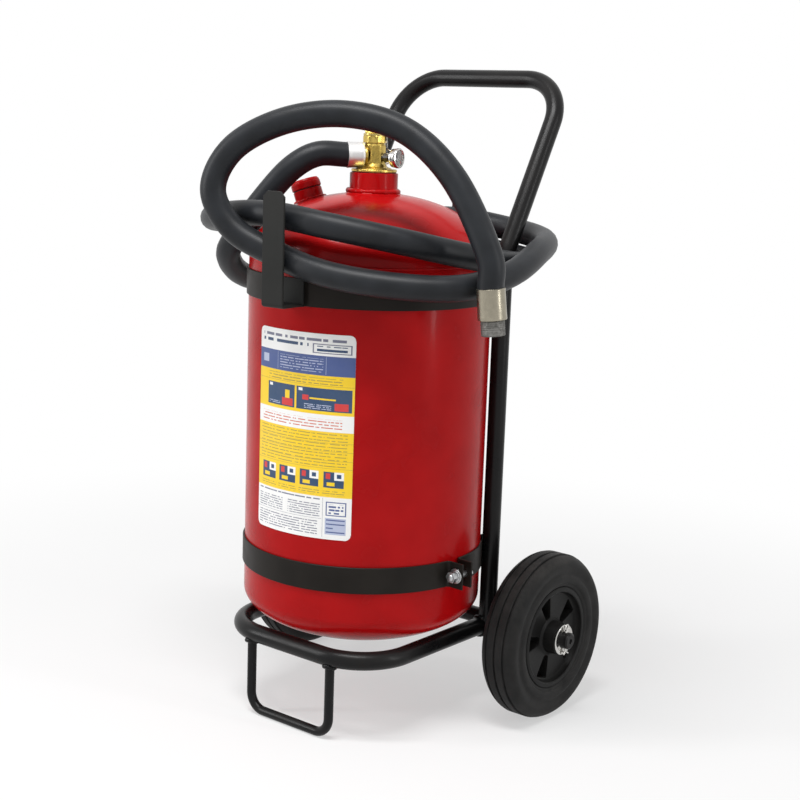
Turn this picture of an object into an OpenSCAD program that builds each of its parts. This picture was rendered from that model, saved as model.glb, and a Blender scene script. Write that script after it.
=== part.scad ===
// Wheeled powder fire extinguisher on a tubular trolley.
// Millimetres, +Z up, floor at z = 0, wheels on the X axis direction, foot towards -Y.
// Every module is written around the tank's own axis; on_base() then centres the whole
// object over the origin.

/* [Tank] */
// Outside diameter of the tank
tank_d = 285; // [240:1:320]
// Thickness of the tank's sheet
tank_wall = 2.5; // [1.5:0.1:4]
// How far the tank's lowest point hangs below the axle's middle
tank_drop = 6; // [0:0.5:8]
// Height of the bottom dome
bottom_dome_h = 52; // [35:1:70]
// Height of the tank's straight wall
tank_straight_h = 399; // [320:1:450]
// Height of the top dome
top_dome_h = 75; // [55:1:90]

/* [Neck] */
// Outside diameter of the neck collar
neck_d = 56; // [50:1:70]
// Bore of the neck collar
neck_bore_d = 40; // [34:1:44]
// Height of the neck's top above the dome's crown
neck_rise = 22.4; // [18:0.1:32]
// Depth of the neck collar below the dome's crown
neck_depth = 14; // [10:1:20]
// Radius of the pressed lip where the dome turns up around the neck
neck_fillet = 8; // [4:1:12]
// Thickness of that lip at its top
neck_lip = 2; // [1:0.1:3]

/* [Filler] */
// Distance of the filler boss from the tank's axis
filler_r = 80; // [70:1:90]
// Direction of the filler boss around the tank
filler_az = -161; // [-170:1:-150]
// Outside diameter of the filler boss
filler_d = 34; // [30:1:38]
// Bore of the filler boss
filler_bore_d = 24; // [18:1:26]
// Height of the filler boss above the dome
filler_h = 12; // [10:1:16]
// Height of the filler cap
filler_cap_h = 11; // [8:1:14]
// How far the cap's rim stands out past the boss
filler_cap_lip = 0.6; // [0.2:0.1:1.5]

/* [Bands] */
// Thickness of the clamp bands
band_t = 2; // [1.5:0.1:3]
// Height of the clamp bands
band_h = 30.4; // [24:0.1:34]
// Height of the lower band's lower edge above the bottom dome
lower_band_up = 32.7; // [15:0.1:70]
// Distance of the upper band's lower edge below the top dome
upper_band_down = 45.4; // [40:0.1:65]
// Direction of the lower band's clamp
lower_clamp_az = -3; // [-8:1:10]
// Direction of the upper band's clamp
upper_clamp_az = 90; // [80:1:100]
// Clear distance between the two ears of a clamp
ear_gap = 12; // [8:1:16]
// How far the ears stand out from the tank
ear_reach = 23; // [20:1:24]
// Thickness of an ear
ear_t = 3; // [2:0.1:4]
// Shank diameter of the clamp bolts
clamp_bolt_d = 8; // [6:1:8]
// Distance of the clamp bolts inside the ears' outer edge
clamp_bolt_inset = 9; // [8.5:0.5:10]

/* [Hose hooks] */
// Direction of the front hook
front_hook_az = -84.9; // [-90:0.1:-80]
// Direction of the rear hook
rear_hook_az = 92.5; // [86:0.5:95]
// Width of the hooks' strap
hook_w = 29; // [28:1:36]
// Thickness of the hooks' strap
hook_t = 3; // [2:0.1:4]
// Clear depth between the tank and the hooks' upright plates
hook_gap = 38.5; // [38:0.1:44]
// Height of the hooks' upright plates
hook_h = 95; // [70:1:110]
// Corner chamfer of the upright plates
hook_chamfer = 6; // [2:1:10]

/* [Label] */
// Middle direction of the label
label_az = -81.4; // [-90:0.1:-70]
// Angle of the tank's wall that the label covers
label_span = 52.7; // [40:0.1:60]
// Height of the label's middle above the middle of the wall between the bands
label_up = 0.9; // [-10:0.1:10]
// Height of the label
label_h = 231.5; // [180:0.5:240]
// Thickness of the label
label_t = 0.4; // [0.3:0.1:0.8]

/* [Trolley tube] */
// Outside diameter of the trolley's tube
tube_d = 21.3; // [18:0.1:25]
// Wall thickness of the trolley's tube
tube_wall = 2; // [1.5:0.1:3]
// Half the distance between the two uprights
upright_x = 122; // [110:1:130]
// Straight length of the uprights above the upper band
upright_rise = 3.7; // [1:0.1:20]
// Angle by which the handle leans back
lean = 28.6; // [20:0.1:35]
// Bend radius where the uprights lean back
lean_bend_r = 60; // [45:1:80]
// Straight length of the handle's legs
handle_leg_l = 163.5; // [140:0.5:200]
// Bend radius of the handle's corners
handle_bend_r = 58; // [45:1:80]

/* [Base] */
// How far the base hoop's tube lies below the axle's middle
hoop_drop = 0.6; // [0:0.1:4]
// Distance of the hoop's front bar ahead of the tank's axis
hoop_front = 124; // [110:1:140]
// Half width of the hoop, at its tube's centre
hoop_x = 117; // [112:1:122]
// Bend radius of the hoop's corners
hoop_bend_r = 66; // [50:1:90]
// Diameter of the foot loop's rod
foot_rod_d = 11; // [8:0.1:14]
// Half width of the foot loop, at the rod's centre
foot_x = 62; // [40:1:70]
// Bend radius of the foot loop's corners
foot_bend_r = 20; // [12:1:30]

/* [Wheels] */
// Diameter of the wheels
wheel_d = 200; // [190:1:210]
// Width of the tyre
tyre_w = 47; // [40:1:50]
// Distance from the middle plane to the wheel's middle
wheel_x = 189.3; // [186:0.1:200]
// Distance of the two outer tread grooves from the middle one
groove_x = 12; // [5:0.5:13]
// Width of the tread grooves
groove_w = 3; // [2:0.5:4]
// Depth of the tread grooves
groove_depth = 2.5; // [1:0.5:4]
// Height of the tyre's section, from the rim to the tread
tyre_h = 38; // [34:1:44]
// Width of the plastic rim
rim_w = 38; // [30:1:40]
// Radial thickness of the rim
rim_t = 7; // [4:0.5:10]
// Thickness of the wheel's disc
disc_t = 24; // [12:1:28]
// Diameter of the hub boss
hub_d = 42; // [38:1:46]
// Length of the hub boss
hub_l = 58; // [40:1:62]
// Number of windows in the wheel's disc
windows = 5; // [4:1:6]
// Width of a window at the rim
window_outer_w = 21; // [10:1:22]
// Width of a window at the hub
window_inner_w = 8; // [4:1:10]
// Diameter of the axle
axle_d = 20; // [16:1:22]
// Wall of the plastic bush in the hub
bush_t = 3; // [2:0.5:5]
// Running clearance of the bush on the axle
axle_fit = 0.05; // [0.02:0.01:0.1]
// Diameter of the washers outside the hubs
hub_washer_d = 37; // [34:1:40]
// Thickness of the axle washers
hub_washer_t = 2.5; // [1.5:0.1:4]
// Gap between a hub and its washers
hub_play = 0.3; // [0.2:0.1:1]
// Length of axle beyond the outer washer
axle_tail = 9; // [8:0.5:14]
// Diameter of the split pins
split_pin_d = 4; // [3:0.5:5]

/* [Valve] */
// Thickness of the seal under the valve's flange
neck_seal_t = 1; // [0.8:0.1:2]
// Diameter of the valve's flange
valve_flange_d = 53; // [48:1:56]
// Thickness of the valve's flange
valve_flange_t = 3; // [2.5:0.1:3.5]
// Diameter of the valve's body
valve_d = 25; // [24:0.5:26]
// Height of the valve's body above the neck
valve_h = 42; // [40:0.5:44]
// Height of the outlet above the neck
outlet_h = 19.6; // [19.5:0.1:20.5]
// Diameter of the valve's ball
ball_d = 17; // [15:0.5:17.5]
// Port diameter of the valve
port_d = 9; // [6:0.5:10]
// Diameter of the valve's stem
stem_d = 7; // [5:0.5:8]
// Outside diameter of the dip tube
dip_tube_d = 16; // [12:1:20]
// Wall of the dip tube
dip_tube_wall = 1.5; // [1:0.1:2.5]
// Gap between the dip tube's foot and the tank's bottom
dip_tube_gap = 8; // [5:1:20]

/* [Lever and lock] */
// Direction of the lever when the valve is shut
lever_az = 39; // [30:1:45]
// Length of the lever from the stem's axis
lever_l = 52; // [45:1:60]
// Width of the lever
lever_w = 13; // [11:1:15]
// Thickness of the lever
lever_t = 4; // [3:0.5:5]
// Direction of the lock pin
lock_az = 104; // [100:1:115]
// Distance of the lock pin from the stem's axis
lock_r = 30; // [29:1:34]
// Diameter of the lock pin
lock_pin_d = 4; // [3:0.5:4.5]
// Thickness of the lock plate
lock_plate_t = 2.5; // [2:0.1:3]

/* [Gauge] */
// Direction that the gauge faces
gauge_az = 9; // [0:1:15]
// Height of the gauge's centre above the neck
gauge_h = 17.6; // [16:0.1:20]
// Diameter of the gauge's case
gauge_d = 23; // [20:0.5:25]
// Distance of the gauge's back from the stem's axis
gauge_back = 24; // [22:0.5:28]
// Depth of the gauge's case
gauge_depth = 10; // [9:0.5:14]

/* [Hose] */
// Outside diameter of the hose
hose_d = 29; // [24:0.5:29]
// Bore of the hose
hose_bore_d = 19; // [16:0.5:20]
// Outside diameter of the ferrule at the valve
valve_ferrule_d = 30.5; // [30:0.1:31]
// Length of the ferrule at the valve
valve_ferrule_l = 19.5; // [18:0.1:20]
// Outside diameter of the ferrule at the hose's free end
tip_ferrule_d = 31.5; // [30:0.1:34]
// Length of the ferrule at the hose's free end
tip_ferrule_l = 33; // [22:1:36]
// Diameter of the threaded end at the hose's free end
tip_thread_d = 26; // [22:0.5:28]
// Length of the threaded end
tip_thread_l = 17; // [12:1:24]

/* [Hidden] */
$fn = 72;
// Gap between round parts that are seated in each other
fit = 0.05;
// Gap between parts that only lie against each other
rest_gap = 0.1;
// Overlap of the two parts of one cut or one union
eps = 0.01;
// Extra length of a cutting tool past each face
over = 1;

tank_r = tank_d / 2;
tube_r = tube_d / 2;
wheel_r = wheel_d / 2;
axle_z = wheel_r;
tank_low = axle_z - tank_drop;
hoop_z = axle_z - hoop_drop;
bottom_edge_z = tank_low + bottom_dome_h;
top_edge_z = bottom_edge_z + tank_straight_h;
crown_z = top_edge_z + top_dome_h;
neck_r = neck_d / 2;
neck_top = crown_z + neck_rise;
band_r = tank_r + rest_gap + band_t;
lower_band_z = bottom_edge_z + lower_band_up;
upper_band_z = top_edge_z - upper_band_down;
label_z = (lower_band_z + band_h + upper_band_z) / 2 - label_h / 2 + label_up;

// The uprights stand against the outside of both bands
upright_y = sqrt(pow(band_r + rest_gap + tube_r, 2) - pow(upright_x, 2));
upright_foot_z = hoop_z - tube_r;
upright_top_z = upper_band_z + band_h + upright_rise;
bow_y = upright_y + lean_bend_r * (1 - cos(lean));
bow_z = upright_top_z + lean_bend_r * sin(lean);
handle_y = bow_y + (handle_leg_l + handle_bend_r) * sin(lean);

// The axle lies behind the uprights and is welded to them
axle_r = axle_d / 2;
axle_y = upright_y + tube_r + rest_gap + axle_r;
bush_r = axle_r + axle_fit + bush_t;
hub_half = hub_l / 2;
hub_in_x = wheel_x - hub_half;
hub_out_x = wheel_x + hub_half;
inner_washer_x = hub_in_x - hub_play - hub_washer_t;
outer_washer_x = hub_out_x + hub_play;
axle_end_x = outer_washer_x + hub_washer_t + axle_tail;
split_pin_x = outer_washer_x + hub_washer_t + split_pin_d / 2 + hub_play;
spacer_x = upright_x + tube_r + rest_gap;
rim_r = wheel_r - tyre_h;

hook_in = tank_r + hook_gap;
hook_out = hook_in + hook_t;
hook_z = upper_band_z + band_h;

// The whole object is centred between its foremost and its rearmost point
hook_front = hook_out * abs(sin(front_hook_az)) + hook_w / 2 * abs(cos(front_hook_az));
front_reach = max(hook_front, hoop_front + tube_r);
rear_reach = max(handle_y + tube_r, axle_y + wheel_r);
centre_y = (rear_reach - front_reach) / 2;

// Heights in the valve, above the neck's top
neck_seal_inset = 2.5;
flange_top = neck_seal_t + valve_flange_t;
body_r = valve_d / 2;
ball_r = ball_d / 2;
port_r = port_d / 2;
side_port_r = port_r - 0.5;
stem_r = stem_d / 2;
cavity_r = ball_r + 0.7;
cavity_floor = outlet_h - ball_r - 2.5;
seat_t = 3.8;
bonnet_foot = outlet_h + ball_r + 1;
flange_cone_r = body_r + 8;
flange_cone_h = 5;
outlet_boss_r = 11;
gauge_port_r = 1.5;
dip_seat_z = -4;
collar_h = 8;
collar_r = body_r + 1.5;
spigot_l = 20;
spigot_r = neck_bore_d / 2 - fit;
bonnet_head = valve_h + lock_plate_t + fit;
bonnet_head_h = 4.5;
bonnet_head_r = 12.5;
packing_r = 5.5;
packing_h = 6;
lever_z = bonnet_head + bonnet_head_h + 0.4;
lever_nut_z = lever_z + lever_t + rest_gap;
lever_nut_h = 4.5;
lever_nut_r = 6.5;
stem_foot = outlet_h + ball_r - 2.5;
stem_top = lever_nut_z + lever_nut_h + 1.5;
lever_hub_r = 12;
lever_tab_r = 15.5;
lever_tab_t = 2.5;
lever_tab_drop = 13;
lock_ear_w = 11;
lock_ear_r = lock_r + 5.5;
lock_pin_fit = 0.15;
lock_pin_top = lever_z - 0.5;
lock_pin_l = 20;
lock_eye_r = 3.6;
lock_eye_t = 2.4;
lock_eye_hole_r = 1.7;
lock_eye_sink = 0.6;
lock_ring_r = 8.5;
lock_ring_wire = 1.6;

gauge_r = gauge_d / 2;
gauge_wall = 1.3;
gauge_stem_r = 4.5;
gauge_hex_r = 6.3;
gauge_hex_in = 2;
gauge_hex_out = 3;
dial_t = 0.6;
dial_gap = 2;
needle_lift = 1;
needle_t = 0.5;
needle_l = 7.5;
needle_post_r = 0.8;
needle_post_tail = 1;
needle_hub_r = 1.8;
needle_root = 0.7;
needle_tip = 0.2;
lens_t = 1;
lens_back = gauge_depth - 0.4 - lens_t;

// Points along the middle of the hose, from the valve to the hanging end
hose_route = [
    [-20, -26, 662], [-40, -52, 662], [-58, -72, 648], [-78, -88, 621], [-108, -107, 573],
    [-143, -93, 538], [-170, -30, 507], [-168, 60, 503], [-118, 150, 531],
    [-6, 163, 552], [80, 168, 545], [140, 122, 543], [165, 59, 543],
    [158, -30, 561], [128, -98, 576], [66, -147, 590], [-12, -157, 598],
    [-87, -147, 593], [-156, -105, 582], [-184, -10, 572], [-178, 92, 572],
    [-118, 154, 576], [-6, 163, 584], [80, 176, 575], [150, 136, 569],
    [188, 66, 561], [203, -6, 543], [188, -69, 531], [140, -118, 531],
    [70, -152, 539], [6, -163, 555], [-44, -182, 580], [-68, -191, 622],
    [-50, -178, 668], [0, -150, 699], [60, -118, 708], [120, -90, 692],
    [176, -77, 645], [220, -70, 570], [223, -68, 534]
];
hose_steps = 2;
hose_sides = 12;
hose_start = hose_route[0];
hose_end = hose_route[len(hose_route) - 1];
outlet_az = atan2(hose_start[1], hose_start[0]);
outlet_reach = norm([hose_start[0], hose_start[1]]);
ferrule_in = outlet_reach - valve_ferrule_l;
nipple_r = hose_bore_d / 2;
nipple_bore_r = nipple_r - 2.5;
tip_bore_r = nipple_r - 1.5;

red = "firebrick";
black = [0.09, 0.09, 0.1];
steel = [0.75, 0.76, 0.78];
brass = [0.8, 0.65, 0.3];

// ---- Places ----

module on_base() translate([0, -centre_y, 0]) children();

function dome_z(r) = top_edge_z + top_dome_h * sqrt(1 - pow(r / tank_r, 2));

// The filler stands square to the dome's surface
filler_tilt = atan2(filler_r / pow(tank_r, 2), (dome_z(filler_r) - top_edge_z) / pow(top_dome_h, 2));
module at_filler()
    rotate([0, 0, filler_az]) translate([filler_r, 0, dome_z(filler_r)])
        rotate([0, filler_tilt, 0]) children();

// Local Z is the bolt's axis, towards the rear ear
module at_clamp(az, z)
    rotate([0, 0, az]) translate([tank_r + ear_reach - clamp_bolt_inset, 0, z + band_h / 2])
        rotate([-90, 0, 0]) children();

module at_neck() translate([0, 0, neck_top]) children();

// Local Z runs out along the gauge's axis, local -X is up
module at_gauge()
    translate([0, 0, neck_top + gauge_h]) rotate([0, 0, gauge_az])
        rotate([0, 90, 0]) children();

// Local Z runs out along the outlet's axis
module at_outlet()
    translate([0, 0, neck_top + outlet_h]) rotate([0, 0, outlet_az])
        rotate([0, 90, 0]) children();

// Local Z is the axle's axis, away from the middle
module at_wheel(side)
    translate([side * wheel_x, axle_y, axle_z]) rotate([0, side * 90, 0]) children();

// ---- Shapes that repeat ----

module ring(r_out, r_in, h) difference() {
    cylinder(r = r_out, h = h);
    translate([0, 0, -over]) cylinder(r = r_in, h = h + 2 * over);
}

module hex(r, h) cylinder(r = r, h = h, $fn = 6);

module tube(h) ring(tube_r, tube_r - tube_wall, h);

// A tube bent by angle in the local XZ plane; it starts at the origin, goes up
// and bends towards +X
module tube_bend(bend_r, angle)
    translate([bend_r, 0, 0]) rotate([90, 0, 180])
        rotate_extrude(angle = angle) translate([bend_r, 0]) difference() {
            circle(r = tube_r);
            circle(r = tube_r - tube_wall);
        }

function arc(cx, cz, rx, rz, a1, a2, n) =
    [for (i = [0 : n]) let(a = a1 + (a2 - a1) * i / n) [cx + rx * cos(a), cz + rz * sin(a)]];

// ---- Tank ----

dome_steps = 14;
fillet_steps = 6;
// Where the lip's fillet leaves the dome, which still slopes there
fillet_start = 264;

module tank_profile() {
    hole_r = neck_r + fit;
    lip_r = neck_r + neck_lip;
    flare_r = lip_r + neck_fillet;
    lip_z = dome_z(flare_r) + neck_fillet;
    in_r = tank_r - tank_wall;
    in_top = top_dome_h - tank_wall;
    in_bottom = bottom_dome_h - tank_wall;
    polygon(concat(
        arc(0, bottom_edge_z, tank_r, bottom_dome_h, -90, 0, dome_steps),
        arc(0, top_edge_z, tank_r, top_dome_h, 0, acos(flare_r / tank_r), dome_steps),
        arc(flare_r, lip_z, neck_fillet, neck_fillet, fillet_start, 180, fillet_steps),
        [[hole_r, lip_z]],
        arc(0, top_edge_z, in_r, in_top, acos(hole_r / in_r), 0, dome_steps),
        arc(0, bottom_edge_z, in_r, in_bottom, 0, -90, dome_steps)
    ));
}

module tank_shell() color(red) difference() {
    rotate_extrude($fn = 120) tank_profile();
    at_filler() translate([0, 0, -filler_h]) cylinder(d = filler_d + 2 * fit, h = 2 * filler_h);
}

module neck_collar() color(red) translate([0, 0, crown_z - neck_depth])
    ring(neck_r, neck_bore_d / 2, neck_rise + neck_depth);

boss_depth = 9;

module filler_boss() color(red) at_filler() translate([0, 0, -boss_depth])
    ring(filler_d / 2, filler_bore_d / 2, filler_h + boss_depth);

filler_seal_t = 1;
filler_seal_inset = 1;

module filler_seal() color(black) at_filler() translate([0, 0, filler_h])
    ring(filler_d / 2 - filler_seal_inset, filler_bore_d / 2 + filler_seal_inset, filler_seal_t);

module filler_cap() color(red) at_filler() translate([0, 0, filler_h + filler_seal_t]) {
    cylinder(r = filler_d / 2 + filler_cap_lip, h = filler_cap_h);
    translate([0, 0, -boss_depth]) cylinder(r = filler_bore_d / 2 - fit, h = boss_depth + eps);
}

module label_plate() color("white") rotate([0, 0, label_az - label_span / 2])
    translate([0, 0, label_z]) rotate_extrude(angle = label_span, $fn = 144)
        translate([tank_r + fit, 0]) square([label_t, label_h]);

// ---- Bands and hooks ----

clamp_bolt_r = clamp_bolt_d / 2;
washer_r = clamp_bolt_d * 1.1;
washer_t = 1.6;
clamp_nut_h = clamp_bolt_d * 0.8;
clamp_hex_r = clamp_bolt_d * 0.85;
clamp_head_h = clamp_bolt_d * 0.65;
ear_face = ear_gap / 2 + ear_t;
ear_inset = 2;
washer_step = 1.4;
bolt_tail = 3;

// A band around the tank, cut open and turned out into two drilled ears
module band(z, az) color(black) difference() {
    union() {
        translate([0, 0, z]) ring(band_r, tank_r + rest_gap, band_h);
        rotate([0, 0, az]) translate([tank_r + rest_gap, -ear_face, z + ear_inset])
            cube([ear_reach - rest_gap, 2 * ear_face, band_h - 2 * ear_inset]);
    }
    rotate([0, 0, az]) translate([tank_r - over, -ear_gap / 2, z - over])
        cube([ear_reach + 2 * over, ear_gap, band_h + 2 * over]);
    translate([0, 0, z - over]) cylinder(r = tank_r + rest_gap, h = band_h + 2 * over);
    at_clamp(az, z) translate([0, 0, -ear_face - over])
        cylinder(r = clamp_bolt_r + 2 * fit, h = 2 * ear_face + 2 * over);
}

module clamp_bolt(az, z) color(steel) at_clamp(az, z) {
    shank = 2 * ear_face + 2 * washer_t + clamp_nut_h + bolt_tail + fit;
    translate([0, 0, ear_face + fit]) hex(clamp_hex_r, clamp_head_h);
    translate([0, 0, ear_face + fit + eps - shank]) cylinder(r = clamp_bolt_r, h = shank);
}

module clamp_washers(az, z) color(steel) at_clamp(az, z)
    for (i = [0, 1]) translate([0, 0, -ear_face - (i + 1) * (washer_t + fit)])
        ring(washer_r - i * washer_step, clamp_bolt_r + fit, washer_t);

module clamp_nut(az, z) color(steel) at_clamp(az, z)
    translate([0, 0, -ear_face - 2 * (washer_t + fit) - fit - clamp_nut_h]) difference() {
        hex(clamp_hex_r, clamp_nut_h);
        translate([0, 0, -over]) cylinder(r = clamp_bolt_r + fit, h = clamp_nut_h + 2 * over);
    }

// An angle of strap: its foot lies on the band's top edge, its plate keeps the hose in
module hook(az) color(black) rotate([0, 0, az]) translate([0, -hook_w / 2, hook_z]) {
    foot_in = tank_r + rest_gap;
    translate([foot_in, 0, 0]) cube([hook_out - foot_in, hook_w, hook_t]);
    translate([hook_out, 0, 0]) rotate([0, -90, 0]) linear_extrude(hook_t) polygon([
        [0, 0], [hook_h - hook_chamfer, 0], [hook_h, hook_chamfer],
        [hook_h, hook_w - hook_chamfer], [hook_h - hook_chamfer, hook_w], [0, hook_w]
    ]);
}

// The front hook's flange lies against the band
module front_hook() color(black) {
    hook(front_hook_az);
    rotate([0, 0, front_hook_az]) translate([band_r + rest_gap, -hook_w / 2, upper_band_z])
        cube([hook_t, hook_w, band_h + eps]);
}

// ---- Trolley ----

// An upright with the bend at its top, where it leans back
module upright(side) color(black) translate([side * upright_x, upright_y, upright_foot_z]) {
    tube(upright_top_z - upright_foot_z);
    translate([0, 0, upright_top_z - upright_foot_z]) rotate([0, 0, 90]) tube_bend(lean_bend_r, lean);
}

// The bow stands on the leaning ends of the uprights, flat in one leaning plane
module handle_bow() color(black) translate([0, bow_y, bow_z]) rotate([-lean, 0, 0]) {
    half = upright_x - handle_bend_r;
    translate([-half, 0, handle_leg_l + handle_bend_r]) rotate([0, 90, 0]) tube(2 * half);
    for (side = [-1, 1]) translate([side * upright_x, 0, 0]) {
        tube(handle_leg_l);
        translate([0, 0, handle_leg_l]) rotate([0, 0, side > 0 ? 180 : 0]) tube_bend(handle_bend_r, 90);
    }
}

// The hoop's path with a round section of radius r
module hoop_path(r) translate([0, 0, hoop_z]) {
    half = hoop_x - hoop_bend_r;
    side_l = upright_y + hoop_front - hoop_bend_r;
    translate([-half, -hoop_front, 0]) rotate([0, 90, 0]) cylinder(r = r, h = 2 * half);
    for (side = [-1, 1]) {
        translate([side * hoop_x, upright_y, 0]) rotate([90, 0, 0]) cylinder(r = r, h = side_l);
        translate([side * half, -hoop_front + hoop_bend_r, 0]) rotate([0, 0, side > 0 ? -90 : 180])
            rotate_extrude(angle = 90) translate([hoop_bend_r, 0]) circle(r = r);
    }
}

// The hoop's ends are coped to the uprights
module base_hoop() color(black) difference() {
    hoop_path(tube_r);
    hoop_path(tube_r - tube_wall);
    for (side = [-1, 1]) translate([side * upright_x, upright_y, hoop_z - tube_d]) {
        cylinder(r = tube_r + rest_gap, h = 2 * tube_d);
        translate([-tube_d, 0, 0]) cube([2 * tube_d, tube_d, 2 * tube_d]);
    }
}

foot_r = foot_rod_d / 2;
// The rod's ends are coped to the hoop
module foot_loop() color(black) difference() {
    half = foot_x - foot_bend_r;
    leg_l = hoop_z - foot_r - foot_bend_r;
    translate([0, -hoop_front, foot_r]) {
        translate([-half, 0, 0]) rotate([0, 90, 0]) cylinder(r = foot_r, h = 2 * half);
        for (side = [-1, 1]) {
            translate([side * foot_x, 0, foot_bend_r]) cylinder(r = foot_r, h = leg_l);
            translate([side * half, 0, foot_bend_r]) rotate([90, 0, 0])
                rotate([0, 0, side > 0 ? -90 : 180]) rotate_extrude(angle = 90)
                    translate([foot_bend_r, 0]) circle(r = foot_r);
        }
    }
    hoop_path(tube_r + rest_gap);
}

// ---- Axle and wheels ----

pin_hole_r = split_pin_d / 2 + fit;
spacer_wall = 3;
inner_washer_r = hub_washer_d / 2 - 3;

module axle() color(black) difference() {
    translate([-axle_end_x, axle_y, axle_z]) rotate([0, 90, 0]) cylinder(r = axle_r, h = 2 * axle_end_x);
    for (side = [-1, 1]) translate([side * split_pin_x, axle_y, axle_z - axle_d])
        cylinder(r = pin_hole_r, h = 2 * axle_d);
}

// A ring on the axle on each side, from x outwards
module axle_rings(x, r, l) for (side = [-1, 1])
    translate([side * x, axle_y, axle_z]) rotate([0, side * 90, 0]) ring(r, axle_r + fit, l);

module axle_spacers() color(black)
    axle_rings(spacer_x, axle_r + spacer_wall, inner_washer_x - rest_gap - spacer_x);

module inner_washers() color(steel) axle_rings(inner_washer_x, inner_washer_r, hub_washer_t);

module hub_washers() color(steel) axle_rings(outer_washer_x, hub_washer_d / 2, hub_washer_t);

split_eye_r = 3.4;
split_pin_below = 5;
split_pin_above = 3;

module split_pins() color(steel) for (side = [-1, 1])
    translate([side * split_pin_x, axle_y, axle_z]) {
        translate([0, 0, -axle_r - split_pin_below])
            cylinder(r = split_pin_d / 2, h = axle_d + split_pin_below + split_pin_above);
        translate([0, 0, axle_r + split_pin_above + split_eye_r]) rotate([0, 90, 0])
            rotate_extrude() translate([split_eye_r, 0]) circle(r = split_pin_d / 3, $fn = 24);
    }

module tyre(side) color(black) at_wheel(side) rotate_extrude($fn = 120) difference() {
    half = tyre_w / 2;
    polygon([
        [rim_r + fit, -rim_w / 2], [rim_r + 9, -half + 3], [rim_r + 16, -half + 1.5],
        [rim_r + 18, -half], [wheel_r - 13, -half], [wheel_r - 6, -half + 3],
        [wheel_r - 2, -half + 7.5], [wheel_r, -half + 11], [wheel_r, half - 11],
        [wheel_r - 2, half - 7.5], [wheel_r - 6, half - 3], [wheel_r - 13, half],
        [rim_r + 18, half], [rim_r + 16, half - 1.5], [rim_r + 9, half - 3], [rim_r + fit, rim_w / 2]
    ]);
    for (x = [-groove_x, 0, groove_x])
        translate([wheel_r - groove_depth, x - groove_w / 2]) square([groove_depth + over, groove_w]);
}

window_in = hub_d / 2 + 3;
window_out = rim_r - rim_t - 4;

module window() linear_extrude(disc_t + 2 * over, center = true) polygon([
    [window_in, -window_inner_w / 2], [window_out, -window_outer_w / 2],
    [window_out, window_outer_w / 2], [window_in, window_inner_w / 2]
]);

module hub(side) color(black) at_wheel(side) difference() {
    union() {
        translate([0, 0, -rim_w / 2]) ring(rim_r, rim_r - rim_t, rim_w);
        translate([0, 0, -disc_t / 2]) cylinder(r = rim_r - rim_t + over, h = disc_t);
        translate([0, 0, -hub_half]) cylinder(d = hub_d, h = hub_l);
    }
    translate([0, 0, -hub_half - over]) cylinder(r = bush_r + fit, h = hub_l + 2 * over);
    for (i = [0 : windows - 1]) rotate([0, 0, (i + 0.5) * 360 / windows]) window();
}

module bush(side) color("ivory") at_wheel(side) translate([0, 0, -hub_half])
    ring(bush_r, axle_r + axle_fit, hub_l);

// ---- Valve ----

module neck_seal() color(black) at_neck() ring(neck_r - neck_seal_inset, spigot_r + fit, neck_seal_t);

module dip_tube() color(steel) {
    foot = tank_low + tank_wall + dip_tube_gap;
    translate([0, 0, foot])
        ring(dip_tube_d / 2, dip_tube_d / 2 - dip_tube_wall, neck_top + dip_seat_z - foot);
}

module valve_body() color(brass) difference() {
    union() {
        at_neck() {
            translate([0, 0, -spigot_l]) cylinder(r = spigot_r, h = spigot_l + flange_top);
            translate([0, 0, neck_seal_t]) cylinder(d = valve_flange_d, h = valve_flange_t);
            translate([0, 0, flange_top]) cylinder(r1 = flange_cone_r, r2 = body_r, h = flange_cone_h);
            cylinder(r = body_r, h = valve_h);
            translate([0, 0, valve_h - collar_h]) cylinder(r = collar_r, h = collar_h);
        }
        at_outlet() cylinder(r = outlet_boss_r, h = ferrule_in - rest_gap);
    }
    at_neck() {
        translate([0, 0, -spigot_l - over])
            cylinder(r = dip_tube_d / 2 + fit, h = spigot_l + over + dip_seat_z + fit);
        translate([0, 0, -spigot_l]) cylinder(r = port_r, h = spigot_l + cavity_floor + over);
        translate([0, 0, cavity_floor]) cylinder(r = cavity_r, h = valve_h);
    }
    at_outlet() cylinder(r = port_r, h = outlet_reach);
    at_outlet() translate([0, 0, ferrule_in - rest_gap])
        cylinder(r = valve_ferrule_d / 2 + rest_gap, h = outlet_reach);
    at_outlet() translate([0, 0, cavity_r + 1]) cylinder(r = nipple_r + fit, h = outlet_reach);
    at_gauge() cylinder(r = gauge_port_r, h = gauge_back);
}

module ball_seat() color("white") at_neck() translate([0, 0, cavity_floor])
    ring(cavity_r - fit, port_r + 0.5, seat_t);

// The ball's side port lies a quarter turn from the outlet while the valve is shut
module valve_ball() color(steel) at_neck() translate([0, 0, outlet_h]) difference() {
    sphere(r = ball_r);
    translate([0, 0, -ball_d]) cylinder(r = port_r, h = ball_d + side_port_r + 0.3);
    rotate([0, 0, outlet_az + 90]) rotate([0, 90, 0]) cylinder(r = side_port_r, h = ball_d);
    translate([0, 0, stem_foot - outlet_h - fit]) cylinder(r = stem_r + fit, h = ball_d);
}

module valve_stem() color(steel) at_neck() translate([0, 0, stem_foot])
    cylinder(r = stem_r, h = stem_top - stem_foot);

module stem_packing() color("white") at_neck() translate([0, 0, bonnet_foot])
    ring(packing_r - fit, stem_r + axle_fit, packing_h);

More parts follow.
